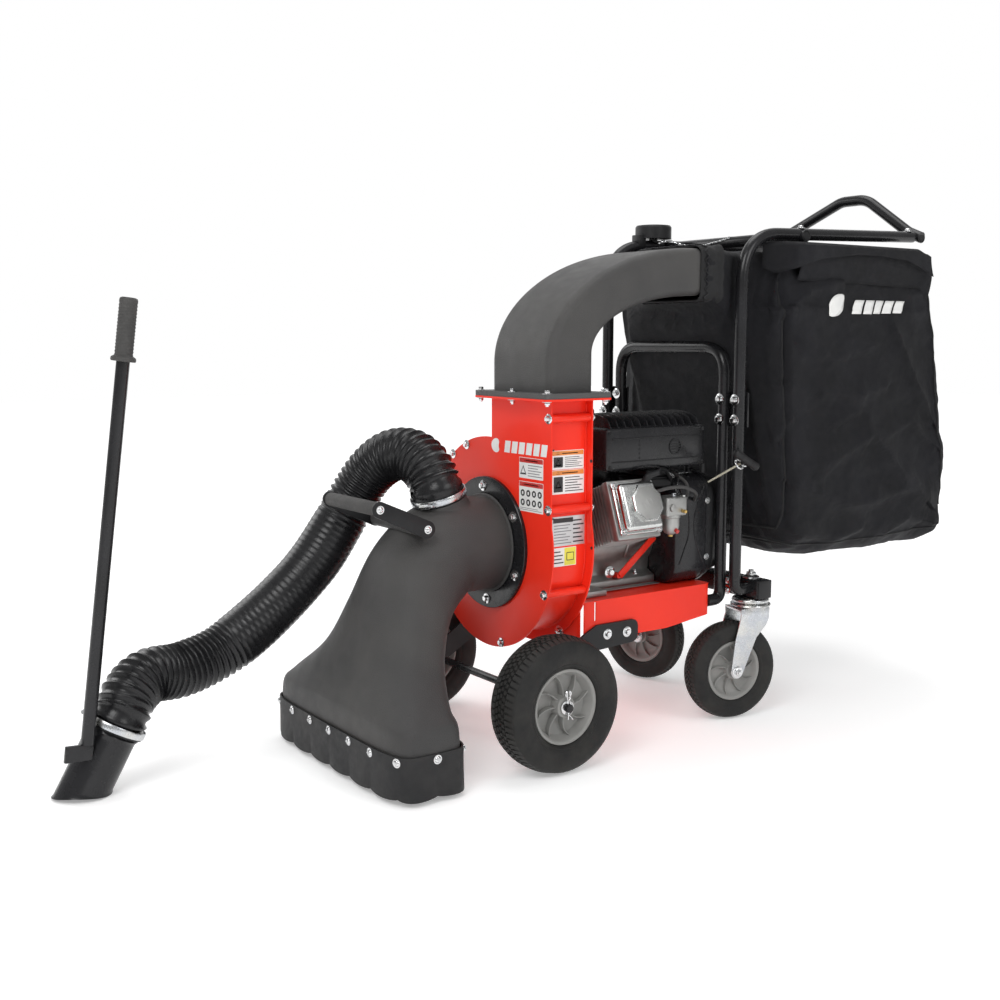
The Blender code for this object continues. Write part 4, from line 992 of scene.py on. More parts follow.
def hood():
    outer, inner = Shape(), Shape()
    outer.skin(hood_rings(0.0, 0.0, seam=0.0010), caps=True)
    inner.skin(hood_rings(HOOD_WALL, 0.02, count=72, steps=40), caps=True)
    collar = Shape()
    collar.turned(
        [
            (0.0, 0.0055), (HOSE_RADIUS - 0.0004, 0.0055), (HOSE_RADIUS + 0.0010, 0.0040),
            (HOSE_RADIUS + 0.0010, 0.0), (HOSE_RADIUS + 0.0016, -0.006), (HOSE_RADIUS + 0.0042, -0.012),
            (HOSE_RADIUS + 0.0085, -0.019), (HOSE_RADIUS + 0.0085, -0.060), (0.0, -0.060),
        ],
        PORT, PORT_AXIS, steps=80,
    )
    lug = Shape()
    lug.rod(
        HANDLE_PIVOT - ALONG_X * 0.0925, HANDLE_PIVOT + ALONG_X * 0.0925, 0.0150, sides=40, round_by=0.0015
    )
    bore = Shape()
    bore.rod(PORT - PORT_AXIS * 0.055, PORT + PORT_AXIS * 0.030, HOSE_RADIUS - 0.004, sides=64)
    lip = Shape()
    lip.turned(
        [
            (0.0, 0.0055), (0.0985, 0.0055), (0.0995, 0.0045), (0.0995, 0.0032), (0.0965, 0.0015),
            (0.0, 0.0010)
        ],
        (0, 0, 0.403), ALONG_Y, steps=96,
    )
    mesh = cut_mesh(
        outer,
        [("UNION", collar), ("UNION", lug), ("UNION", lip), ("DIFFERENCE", inner), ("DIFFERENCE", bore)]
    )
    link("floor_hood", mesh, CHARCOAL, "chassis", ["hood"], sharp=42)


hood()


def skirt():
    """A rubber strip round the hood's mouth, bulging in flaps between its screws."""
    count, levels = 288, 9
    low, high = 0.0210, 0.0900
    half_x, half_y, power = 0.2548, 0.0778, 6.0
    outline = squircle(half_x, half_y, power, count * 4)
    ring, total = evened(outline, count), girth(outline)
    after, before = np.roll(ring, -1, axis=0), np.roll(ring, 1, axis=0)
    tangent = after - before
    tangent /= np.linalg.norm(tangent, axis=1)[:, None]
    outward = np.stack([tangent[:, 1], -tangent[:, 0]], axis=1)
    flaps = 16
    rings_out, rings_in = [], []
    for j in range(levels + 1):
        t = j / levels
        out_ring, in_ring = [], []
        for i in range(count):
            phase = (i / count * flaps) % 1.0
            bulge = math.sin(math.pi * phase) ** 0.7
            groove = 1.0 - ease(abs(phase - 0.5), 0.44, 0.5)
            hang = ease(t, 0.30, 1.0)
            wobble = noise.noise(Vector((total * i / count * 9.0, 3.0, 0.0)))
            push = (0.0030 * bulge * groove - 0.0010 + 0.0020 * wobble) * hang
            bottom = low - 0.0120 + 0.0040 * (1 - bulge)
            z = high * (1 - t) + bottom * t
            p, n = ring[i], outward[i]
            out = p + n * (push + 0.0012)
            inside = p + n * (push - 0.0020)
            out_ring.append((out[0], -0.272 + out[1], z))
            in_ring.append((inside[0], -0.272 + inside[1], z))
        rings_out.append(out_ring)
        rings_in.append(in_ring)
    shape = Shape()
    shape.skin(rings_out + list(reversed(rings_in)), loop=True)
    shape.piece("skirt_flaps", SKIRT, "chassis", "skirt_rubber", ["skirt"], sharp=50)

    screws = Shape()
    for k in range(flaps):
        i = k * count // flaps
        p, n = ring[i], outward[i]
        at = Vector((p[0] + n[0] * 0.0010, -0.272 + p[1] + n[1] * 0.0010, 0.0800))
        dome_screw(screws, at, (n[0], n[1], 0.0), 0.0062)
    screws.piece("skirt_screws", CHROME, "chassis", "zinc_plate")


skirt()


def inlet_ring():
    shape = Shape()
    shape.turned(
        [
            (0.0965, 0.0068), (0.0965, 0.0136), (0.1325, 0.0136), (0.1325, 0.0075), (0.1315, 0.0062),
            (0.1295, 0.0060), (0.0985, 0.0060),
        ],
        (0, 0, 0.403), ALONG_Y, steps=112, loop=True,
    )
    shape.piece("hood_ring", BLACK, "chassis", "black_paint", ["inlet_ring"])
    bolts = Shape()
    for k in range(6):
        a = math.radians(33 + 60 * k)
        at = Vector((0.1140 * math.cos(a), 0.0060, 0.403 + 0.1140 * math.sin(a)))
        bolt(bolts, at, -ALONG_Y, 0.0110)
    bolts.piece("ring_bolts", CHROME, "chassis", "zinc_plate")


inlet_ring()


# ---- Hood's hinged grip ----
def hood_grip():
    angle, length = math.radians(24), 0.110
    arm_mid = 0.0955
    bar_at = HANDLE_PIVOT + length * Vector((0, -math.cos(angle), math.sin(angle)))
    lean = 24.0
    outline = arc(HANDLE_PIVOT.y, HANDLE_PIVOT.z, 0.0165, -90 - lean, 90 - lean, 16)
    outline += arc(bar_at.y, bar_at.z, 0.0150, 90 - lean, 270 - lean, 16)
    arms = Shape()
    for s in (-1, 1):
        arms.slab(outline, 0.0050, facing_x(s * arm_mid), round_by=0.0008)
    arms.piece("grip_arms", SATIN, "hood_grip", "black_paint", ["hood_handle"])
    bar = Shape()
    bar.rod(bar_at - ALONG_X * 0.0928, bar_at + ALONG_X * 0.0928, 0.0130, sides=40, round_by=0.0012)
    bar.piece("grip_bar", GRIP, "hood_grip", "black_plastic")
    screws = Shape()
    for s in (-1, 1):
        dome_screw(screws, bar_at + ALONG_X * s * 0.0980, (s, 0, 0), 0.0058)
        dome_screw(screws, HANDLE_PIVOT + ALONG_X * s * 0.0980, (s, 0, 0), 0.0058)
    screws.piece("grip_screws", CHROME, "hood_grip", "zinc_plate")


hood_grip()


# ---- Chute ----
FLANGE_Z = 0.6935
CHUTE_X = (0.015, 0.205)
CHUTE_BASE = FLANGE_Z + 0.0044
FLANGE_X, FLANGE_Y = (-0.010, 0.231), (-0.016, 0.143)


def elbow(t):
    """The outer and inner (Y, Z) points of the chute at t, from 0 at its base to 1 at its mouth."""
    straight = 0.25
    if t < straight:
        s = t / straight
        return (0.010, CHUTE_BASE + s * (0.762 - CHUTE_BASE)), (0.117, CHUTE_BASE + s * (0.780 - CHUTE_BASE))
    a = math.radians(90 * (t - straight) / (1 - straight))
    outer = (0.388 - 0.378 * math.cos(a), 0.762 + 0.225 * math.sin(a))
    inner = (0.390 - 0.273 * math.cos(a), 0.780 + 0.113 * math.sin(a))
    return outer, inner


def chute():
    steps = 72

    def section(t, inset, corner):
        (oy, oz), (iy, iz) = elbow(t)
        outer, inner = Vector((0, oy, oz)), Vector((0, iy, iz))
        depth = (inner - outer).length
        along = (inner - outer) / depth
        outline = rounded((CHUTE_X[0] + inset, inset), (CHUTE_X[1] - inset, depth - inset), corner, 6)
        crown = 0.0016
        ring = []
        for u, v in outline:
            du, dv = (u - mid(CHUTE_X)) / 0.095, (v / depth - 0.5) * 2
            u += math.copysign(crown * (1 - dv * dv), du) if abs(du) > 0.8 else 0.0
            ring.append((u, outer.y + along.y * v, outer.z + along.z * v))
        return ring

    shape = Shape()
    outside = [section(i / steps, 0.0, 0.017) for i in range(steps + 1)]
    inside = [section(i / steps, 0.004, 0.013) for i in range(steps + 1)]
    shape.skin(outside + list(reversed(inside)), loop=True)
    flange = rounded(
        (FLANGE_X[0] + 0.001, FLANGE_Y[0] + 0.001), (FLANGE_X[1] - 0.001, FLANGE_Y[1] - 0.001), 0.010
    )
    hole = rounded((CHUTE_X[0] + 0.002, 0.0125), (CHUTE_X[1] - 0.002, 0.1145), 0.010)
    shape.slab(flange, 0.0098, facing_z(CHUTE_BASE + 0.0049), holes=(hole,))
    shape.piece("elbow_chute", CHARCOAL, "chassis", "charcoal_plastic", ["chute"], sharp=42)

    bolts = Shape()
    for x in (0.004, 0.110, 0.218):
        for y in (-0.006, 0.133):
            bolt(bolts, (x, y, CHUTE_BASE + 0.0098), UP, 0.0095)
            bolt(bolts, (x, y, FLANGE_Z), -UP, 0.0095, nut=True, stub=0.0030)
    bolts.piece("flange_bolts", CHROME, "chassis", "zinc_plate")


chute()


# ---- Frame tubes ----
TUBE = 0.0125
HANDLE_Y = 1.060
CROSSBAR = Vector((0.0, 0.6720, 1.0215))
PLUG_Y = 0.636


def frame_tubes():
    for side, sign in (("left", 1), ("right", -1)):
        x = sign * 0.210
        lower = [(x, 0.5396, 0.281), (x, 0.500, 0.281), (x, 0.500, 0.800)]
        upper = [lower[-1], (x, 0.500, 1.0205), (x, HANDLE_Y - TUBE - 0.0004, 1.037)]
        upright = Shape()
        upright.tube(bent(lower, 0.040) + bent(upper, 0.105, 16)[1:], TUBE, sides=28)
        if side == "right":
            upright.rod((x, PLUG_Y, 1.024), (x, PLUG_Y, 1.0400), 0.010)
        upright.piece(f"upright_{side}", BLACK, "chassis", "black_paint", [f"frame_{side}"], sharp=50)

    bar = Shape()
    bar.rod(CROSSBAR - ALONG_X * 0.2245, CROSSBAR + ALONG_X * 0.2245, TUBE, sides=32, round_by=0.0006)
    bar.piece("bag_bar", BLACK, "chassis", "black_paint", ["bag_crossbar"])

    hoop_x, hoop_y = 0.165, 0.5022
    hoop = Shape()
    route = [
        (hoop_x, 0.4604, 0.255), (hoop_x, hoop_y, 0.255), (hoop_x, hoop_y, 0.790), (-hoop_x, hoop_y, 0.790),
        (-hoop_x, hoop_y, 0.255), (-hoop_x, 0.4604, 0.255),
    ]
    hoop.tube(bent(route, 0.060, 14), TUBE, sides=28)
    for low, high in ((0.155, 0.222), (-0.222, -0.155)):
        hoop.box((low, 0.5133, 0.625), (high, 0.5180, 0.697), 0.0012)
    hoop.piece("engine_hoop", BLACK, "chassis", "black_paint", ["guard_hoop"], sharp=50)

    route = [
        (-0.2245, HANDLE_Y, 1.052), (-0.190, HANDLE_Y, 1.060), (-0.005, HANDLE_Y, 1.134),
        (0.068, HANDLE_Y, 1.134),
        (0.190, HANDLE_Y, 1.050), (0.2245, HANDLE_Y, 1.036),
    ]
    handle = Shape()
    handle.tube(bent(route, 0.075, 14), TUBE, sides=32)
    handle.piece("handle_bar", BLACK, "chassis", "black_paint", ["push_handle"], sharp=50)

    plugs = Shape()
    plug = [(0.0, 0.0022), (0.0085, 0.0022), (0.0092, 0.0012), (0.0100, 0.0012), (0.0112, 0.0024)]
    plug += [(0.0124, 0.0018), (0.0127, 0.0), (0.0, -0.004)]
    for x, y, z in ((0.2245, HANDLE_Y, 1.036), (-0.2245, HANDLE_Y, 1.052)):
        plugs.turned(plug, (x, y, z), (math.copysign(1, x), 0, 0), steps=40)
    for sign in (-1, 1):
        plugs.turned(plug, CROSSBAR + ALONG_X * sign * 0.2245, (sign, 0, 0), steps=40)
    plugs.piece("tube_plugs", MOULDED, "chassis", "black_plastic")

    bolts = Shape()
    for sign in (-1, 1):
        for z in (0.640, 0.682):
            bolt(bolts, (sign * hoop_x, hoop_y - TUBE, z), -ALONG_Y, 0.0120)
            bolt(bolts, (sign * 0.210, 0.500 - TUBE, z), -ALONG_Y, 0.0120)
        bolt(bolts, (sign * 0.210, HANDLE_Y - 0.030, 1.0362 + TUBE), UP, 0.0100)
        bolt(bolts, (sign * 0.210, CROSSBAR.y, 1.0258 + TUBE), UP, 0.0090)
    bolts.piece("frame_bolts", CHROME, "chassis", "zinc_plate")


frame_tubes()


# ---- Hand wand ----
ROD_FOOT = Vector((-0.1052, -0.7674, 0.105))
ROD_HEAD = Vector((-0.0744, -0.6735, 0.878))
ROD_LINE = (ROD_HEAD - ROD_FOOT).normalized()
GRIP_FOOT = ROD_FOOT.lerp(ROD_HEAD, 0.860)


def wand():
    pole = Shape()
    pole.rod(ROD_FOOT, GRIP_FOOT - ROD_LINE * 0.0004, 0.0115, sides=36)
    pole.piece("wand_pole", BLACK, "chassis", "black_paint", ["wand_rod"])

    grip = Shape()
    profile = [(0.0, 0.1085), (0.0110, 0.1085), (0.0145, 0.1070), (0.0156, 0.1035)]
    for k in range(15):
        z = 0.100 - 0.0060 * k
        profile += [(0.0156, z), (0.0150, z - 0.0012), (0.0150, z - 0.0034), (0.0156, z - 0.0046)]
    profile += [
        (0.0156, 0.0100), (0.0205, 0.0070), (0.0212, 0.0050), (0.0212, 0.0015), (0.0200, 0.0), (0.0, 0.0)
    ]
    grip.turned(profile, GRIP_FOOT, ROD_LINE, steps=40)
    grip.piece("wand_handgrip", GRIP, "chassis", "black_plastic", ["wand_grip"], sharp=50)

    place = towards(NOZZLE_AXIS, NOZZLE_TOP)
    sides, rows = 72, 26
    outer, inner = [], []
    for j in range(rows + 1):
        t = j / rows
        out_ring, in_ring = [], []
        for k in range(sides):
            a = math.tau * k / sides
            flat = place @ Vector((NOZZLE_RADIUS * math.cos(a), NOZZLE_RADIUS * math.sin(a), 0.0))
            reach = (flat.z - 0.0012) / -NOZZLE_AXIS.z
            reach -= 0.004 + 0.004 * math.sin(2 * a + 0.6)
            for ring, radius in ((out_ring, NOZZLE_RADIUS + 0.0002), (in_ring, NOZZLE_RADIUS - 0.0026)):
                roll = 0.0016 * (ease(t, 0.97, 1.0) if radius > NOZZLE_RADIUS else 0.0)
                bead = 0.0030 * math.exp(
                    -(((t * reach) - 0.004) / 0.0030) ** 2
                ) if radius > NOZZLE_RADIUS else 0.0
                r = radius + roll + bead
                ring.append(place @ Vector((r * math.cos(a), r * math.sin(a), t * reach)))
        outer.append(out_ring)
        inner.append(in_ring)
    nozzle = Shape()
    nozzle.skin(outer + list(reversed(inner)), loop=True)
    bracket = towards(ROD_LINE, ROD_FOOT) @ Matrix.Rotation(math.radians(118), 4, "Z")
    nozzle.box((-0.0110, -0.0035, -0.030), (0.040, 0.0035, -0.0004), 0.0010, bracket)
    nozzle.piece("wand_mouth", BLACK, "chassis", "black_paint", ["wand_nozzle"], sharp=50)


wand()


# ---- Fan housing ----
SHAFT_Z = 0.403
PLATE_RADIUS, SCROLL_RADIUS, INLET_RADIUS = 0.212, 0.1885, 0.090
FRONT_PLATE_Y, BACK_PLATE_Y = (0.014, 0.017), (0.111, 0.114)
DUCT_X = (0.012, 0.205)
SCROLL_LEFT, SHEET = 0.019, 0.003


def soften(made, width, segments=2):
    """Rounds a piece's hard edges as it is shown."""
    rounding = made.modifiers.new("edges", "BEVEL")
    rounding.width, rounding.segments = width, segments
    rounding.limit_method, rounding.angle_limit = "ANGLE", math.radians(50)
    rounding.harden_normals = False


def dress(node, material, width=0.0):
    """A CAD node that keeps its shape gets a finish, and its hard edges are rounded as it is shown."""
    shown = bpy.data.objects[node]
    shown.data.materials.clear()
    shown.data.materials.append(material)
    if width:
        soften(shown, width)


def fan_housing():
    start = math.degrees(math.asin((0.457 - SHAFT_Z) / PLATE_RADIUS))
    left = 90 - math.degrees(math.asin(DUCT_X[0] / PLATE_RADIUS))
    top = FLANGE_Z - 0.0004
    outline = [(DUCT_X[1], top)] + arc(0, SHAFT_Z, PLATE_RADIUS, start, left - 360, 150) + [(DUCT_X[0], top)]
    for name, plate_y, hole, node in (
        ("fan_front", FRONT_PLATE_Y, INLET_RADIUS, "front_plate"),
        ("fan_back", BACK_PLATE_Y, 0.020, "back_plate"),
    ):
        sheet = Shape()
        sheet.slab(outline, SHEET, facing_y(mid(plate_y)), holes=(circle(0, SHAFT_Z, hole, 96),))
        made = sheet.piece(name, RED, "chassis", "red_paint", [node])
        soften(made, 0.0006)

    meet = math.degrees(math.acos(SCROLL_LEFT / SCROLL_RADIUS))
    inner = SCROLL_RADIUS - SHEET
    inner_meet = math.degrees(math.acos((SCROLL_LEFT + SHEET) / inner))
    outside = [(SCROLL_RADIUS, top)] + arc(
        0, SHAFT_Z, SCROLL_RADIUS, 0, meet - 360, 130
    ) + [(SCROLL_LEFT, top)]
    inside = [(SCROLL_LEFT + SHEET, top)] + arc(0, SHAFT_Z, inner, inner_meet - 360, 0, 130) + [(inner, top)]
    wall = Shape()
    wall.slab(outside + inside, BACK_PLATE_Y[0] - FRONT_PLATE_Y[1] - 0.0008, facing_y(0.064))
    wall.piece("fan_scroll", RED, "chassis", "red_paint", ["scroll"])
    spacers = {"top": (0.1970, 0.660), "middle": (0.1970, 0.488), "bottom": (0.1855, 0.325)}
    bars = Shape()
    for x, z in spacers.values():
        bars.rod((x, 0.0176, z), (x, 0.1104, z), 0.0076, sides=36, round_by=0.0006)
    bars.piece("fan_spacers", RED, "chassis", "red_paint", [f"spacer_{name}" for name in spacers])

    # Weld beads where the scroll meets its plates.
    beads = Shape()
    for y, inward in ((FRONT_PLATE_Y[1], 1), (BACK_PLATE_Y[0], -1)):
        line = [(SCROLL_RADIUS + 0.0004, z) for z in np.linspace(0.685, 0.410, 40)]
        line += arc(0, SHAFT_Z, SCROLL_RADIUS + 0.0004, 0, -200, 130)
        points = [Vector((x, y + inward * 0.0012, z)) for x, z in line]
        count = len(points)
        beads.tube(points, lambda t: 0.0017 + 0.0004 * math.sin(t * count * 2.6), sides=8)
    beads.piece("scroll_welds", RED, "chassis", "red_paint", sharp=60)

    flange = Shape()
    hole = rounded((SCROLL_LEFT + SHEET, FRONT_PLATE_Y[1]), (inner, BACK_PLATE_Y[0]), 0.004, 3)
    flange.slab(
        rounded((FLANGE_X[0], FLANGE_Y[0]), (FLANGE_X[1], FLANGE_Y[1]), 0.012, 8), 0.004,
        facing_z(FLANGE_Z + 0.002), holes=(hole,)
    )
    made = flange.piece("duct_flange", RED, "chassis", "red_paint", ["outlet_flange"])
    soften(made, 0.0006)
    gasket = Shape()
    gasket.slab(rounded((0.000, -0.008), (0.222, 0.135), 0.012, 6), 0.0003, facing_z(FLANGE_Z + 0.00415))
    gasket.piece("flange_gasket", SATIN, "chassis", "black_paint")

    bolts = Shape()
    for x, z in [*spacers.values(), (0.0453, 0.2049), (-0.0765, 0.5937), (-0.1274, 0.571)]:
        bolt(bolts, (x, FRONT_PLATE_Y[0], z), -ALONG_Y, 0.0100)
    for x, z in [*spacers.values(), (0.1096, 0.2286)]:
        bolt(bolts, (x, BACK_PLATE_Y[1], z), ALONG_Y, 0.0100, nut=True)
    bolt(bolts, (0.1096, BACK_PLATE_Y[0], 0.2286), -ALONG_Y, 0.0110)
    bolts.piece("fan_bolts", CHROME, "chassis", "zinc_plate")
    holes = Shape()
    for x, z in ((0.2036, 0.5765), (0.2076, 0.4091)):
        holes.rod((x, BACK_PLATE_Y[0] - 0.0003, z), (x, BACK_PLATE_Y[0] + 0.001, z), 0.0032, sides=24)
    for z in (0.600, 0.470):
        holes.box((SCROLL_RADIUS - 0.0005, 0.030, z - 0.0015), (SCROLL_RADIUS + 0.0003, 0.034, z + 0.0015))
    holes.piece("fan_holes", INK, "chassis", "black_paint")


fan_housing()


# ---- Stickers: plain coloured blocks and strokes, with no words ----
class Sticker:
    """A sticker on a flat face: place turns its (u, v) in metres into the machine's frame."""

    def __init__(self, name, place, size):
        self.name, self.place, self.size = name, place, size
        self.layers = {}
        self.patch(0, 0, *size, "back", 0)

    def patch(self, u0, v0, u1, v1, layer, level=1):
        shape = self.layers.setdefault(layer, Shape())
        lift = 0.00012 * level
        corner = min(0.0012, (u1 - u0) / 3, (v1 - v0) / 3)
        shape.slab(
            rounded((u0, v0), (u1, v1), corner, 3), 0.0002,
            self.place @ Matrix.Translation((0, 0, 0.0002 + lift))
        )

    def lines(self, u0, v0, u1, v1, count, layer):
        pitch = (v1 - v0) / count
        for i in range(count):
            short = (0.0, 0.18, 0.07, 0.30)[i % 4] * (u1 - u0)
            self.patch(u0, v0 + pitch * (i + 0.30), u1 - short, v0 + pitch * (i + 0.62), layer)

    def triangle(self, u, v, size, layer, inner):
        for scale, which, level in ((1.0, layer, 1), (0.62, inner, 2)):
            shape = self.layers.setdefault(which, Shape())
            outline = [
                (u - size * scale * 0.5, v - size * scale * 0.40),
                (u + size * scale * 0.5, v - size * scale * 0.40), (u, v + size * scale * 0.50)
            ]
            shape.slab(outline, 0.0002, self.place @ Matrix.Translation((0, 0, 0.0002 + 0.00012 * level)))

    def stick(self, finishes):
        for layer, shape in self.layers.items():
            shape.piece(f"{self.name}_{layer}", finishes[layer], "chassis", "red_paint")


def stickers():
    finishes = {
        "back": WHITE, "red": LABEL_RED, "orange": ORANGE, "yellow": YELLOW, "ink": INK, "pale": WHITE,
        "grey": PLATE_GREY,
    }

    def on_front(x, z):
        return Matrix(((1, 0, 0, x), (0, 0, -1, FRONT_PLATE_Y[0]), (0, 1, 0, z), (0, 0, 0, 1)))

    def on_side(y, z):
        return Matrix(((0, 0, 1, SCROLL_RADIUS), (1, 0, 0, y), (0, 1, 0, z), (0, 0, 0, 1)))

    first = Sticker("sticker_front_high", on_front(0.105, 0.543), (0.076, 0.040))
    first.patch(0.001, 0.030, 0.075, 0.039, "red")
    first.lines(0.020, 0.0315, 0.060, 0.0375, 1, "pale")
    first.triangle(0.013, 0.015, 0.020, "ink", "pale")
    first.lines(0.028, 0.003, 0.073, 0.028, 5, "grey")
    first.stick(finishes)
    second = Sticker("sticker_front_low", on_front(0.105, 0.479), (0.0765, 0.058))
    second.patch(0.001, 0.048, 0.0755, 0.057, "red")
    second.lines(0.014, 0.0495, 0.062, 0.0555, 1, "pale")
    for row in range(2):
        for i in range(4):
            shape = second.layers.setdefault("ink", Shape())
            centre = (0.0115 + 0.0180 * i, 0.0355 - 0.0180 * row)
            shape.slab(
                circle(*centre, 0.0066, 24), 0.0002, second.place @ Matrix.Translation((0, 0, 0.00032))
            )
            second.patch(
                centre[0] - 0.0022, centre[1] - 0.0030, centre[0] + 0.0022, centre[1] + 0.0030, "pale", 2
            )
    second.lines(0.004, 0.002, 0.072, 0.0085, 2, "grey")
    second.stick(finishes)

    mark = Shape()
    at = on_front(0.009, 0.582) @ Matrix.Translation((0, 0, 0.0002))
    leaf = [
        (0.019 + 0.0165 * math.cos(a) * abs(math.sin(a / 2)) ** 0.3, 0.0175 + 0.0140 * math.sin(a))
        for a in np.linspace(0.2, math.tau - 0.2, 36)
    ]
    mark.slab(leaf, 0.0002, at)
    for i in range(6):
        mark.slab(
            [
                (0.046 + 0.0235 * i, 0.006), (0.064 + 0.0235 * i, 0.006), (0.068 + 0.0235 * i, 0.029),
                (0.050 + 0.0235 * i, 0.029)
            ],
            0.0002, at
        )
    mark.piece("housing_mark", WHITE, "chassis", "red_paint")

    for name, low, size, header in (
        ("sticker_side_high", (0.0285, 0.563), (0.0765, 0.036), 0.0095),
        ("sticker_side_low", (0.0287, 0.516), (0.0773, 0.046), 0.0100)
    ):
        made = Sticker(name, on_side(*low), size)
        made.patch(0.001, size[1] - header, size[0] - 0.001, size[1] - 0.001, "orange")
        made.triangle(0.014, size[1] - header + 0.0045, 0.0070, "ink", "orange")
        made.lines(0.024, size[1] - header + 0.001, 0.062, size[1] - 0.0025, 1, "ink")
        made.patch(0.004, 0.004, 0.026, size[1] - header - 0.003, "ink")
        made.triangle(0.015, (size[1] - header) / 2, 0.016, "pale", "ink")
        made.lines(0.031, 0.003, size[0] - 0.003, size[1] - header - 0.002, 6, "ink")
        made.stick(finishes)
    third = Sticker("nameplate", on_side(0.030, 0.416), (0.079, 0.057))
    third.patch(0.002, 0.045, 0.050, 0.054, "ink")
    third.lines(0.004, 0.003, 0.046, 0.043, 7, "grey")
    third.lines(0.050, 0.003, 0.076, 0.052, 6, "ink")
    third.stick({**finishes, "back": PLATE_SILVER})
    last = Sticker("noise_plate", on_side(0.0305, 0.377), (0.0575, 0.036))
    last.patch(0.029, 0.001, 0.0565, 0.035, "yellow")
    last.patch(0.034, 0.010, 0.052, 0.026, "ink", 2)
    last.patch(0.0355, 0.0115, 0.0505, 0.0245, "yellow", 3)
    last.lines(0.003, 0.004, 0.027, 0.032, 4, "ink")
    last.stick(finishes)


stickers()


# ---- Deck and axle brackets ----
def deck():
    dress("deck", RED, 0.0022)
    for side in ("left", "right"):
        dress(f"axle_bracket_{side}", SATIN, 0.0008)
    bolts = Shape()
    for sign in (-1, 1):
        for y, z in ((0.176, 0.226), (0.227, 0.224)):
            bolt(bolts, (sign * 0.1804, y, z), ALONG_X * sign, 0.0110)
        for y in (0.160, 0.330):
            bolt(bolts, (sign * 0.086, y, 0.312), UP, 0.0110, nut=True, stub=0.006)
    bolts.piece("deck_bolts", CHROME, "chassis", "zinc_plate")
    foot = Shape()
    foot.box((0.100, 0.130, 0.2955), (0.150, 0.200, 0.3080), 0.002)
    foot.box((-0.150, 0.130, 0.2955), (-0.100, 0.200, 0.3080), 0.002)
    foot.box((0.106, 0.200, 0.2975), (0.124, 0.366, 0.2990), 0.0004)
    foot.piece("engine_feet", CAST, "chassis", "cast_aluminium")


deck()


# ---- Engine ----
LEAN = math.radians(20)
BLOWER_Y = (0.3746, 0.4666)
STARTER_Y = (0.4670, 0.4862, 0.5320)  # the cover's edge, its step, and the back of its bulge
FLANGE_BOLTS = (-28, -6, 60, 110, 150, 195)  # degrees round the shaft
FLANGE_BOLT_Y, FLANGE_BOLT_RADIUS = 0.142, 0.0925
GUARD_LOW, GUARD_HIGH = Vector((0.030, 0.176, 0.547)), Vector((0.172, 0.444, 0.634))
ROPE_START, ROPE_GUIDE = Vector((0.1560, 0.470, 0.5080)), Vector((0.2360, 0.4780, 0.5520))
FUEL_CAP = Vector((-0.060, 0.300, 0.6405))
CYLINDER = Matrix.Translation((0, 0.236, SHAFT_Z)) @ Matrix.Rotation(-LEAN, 4, "Y")


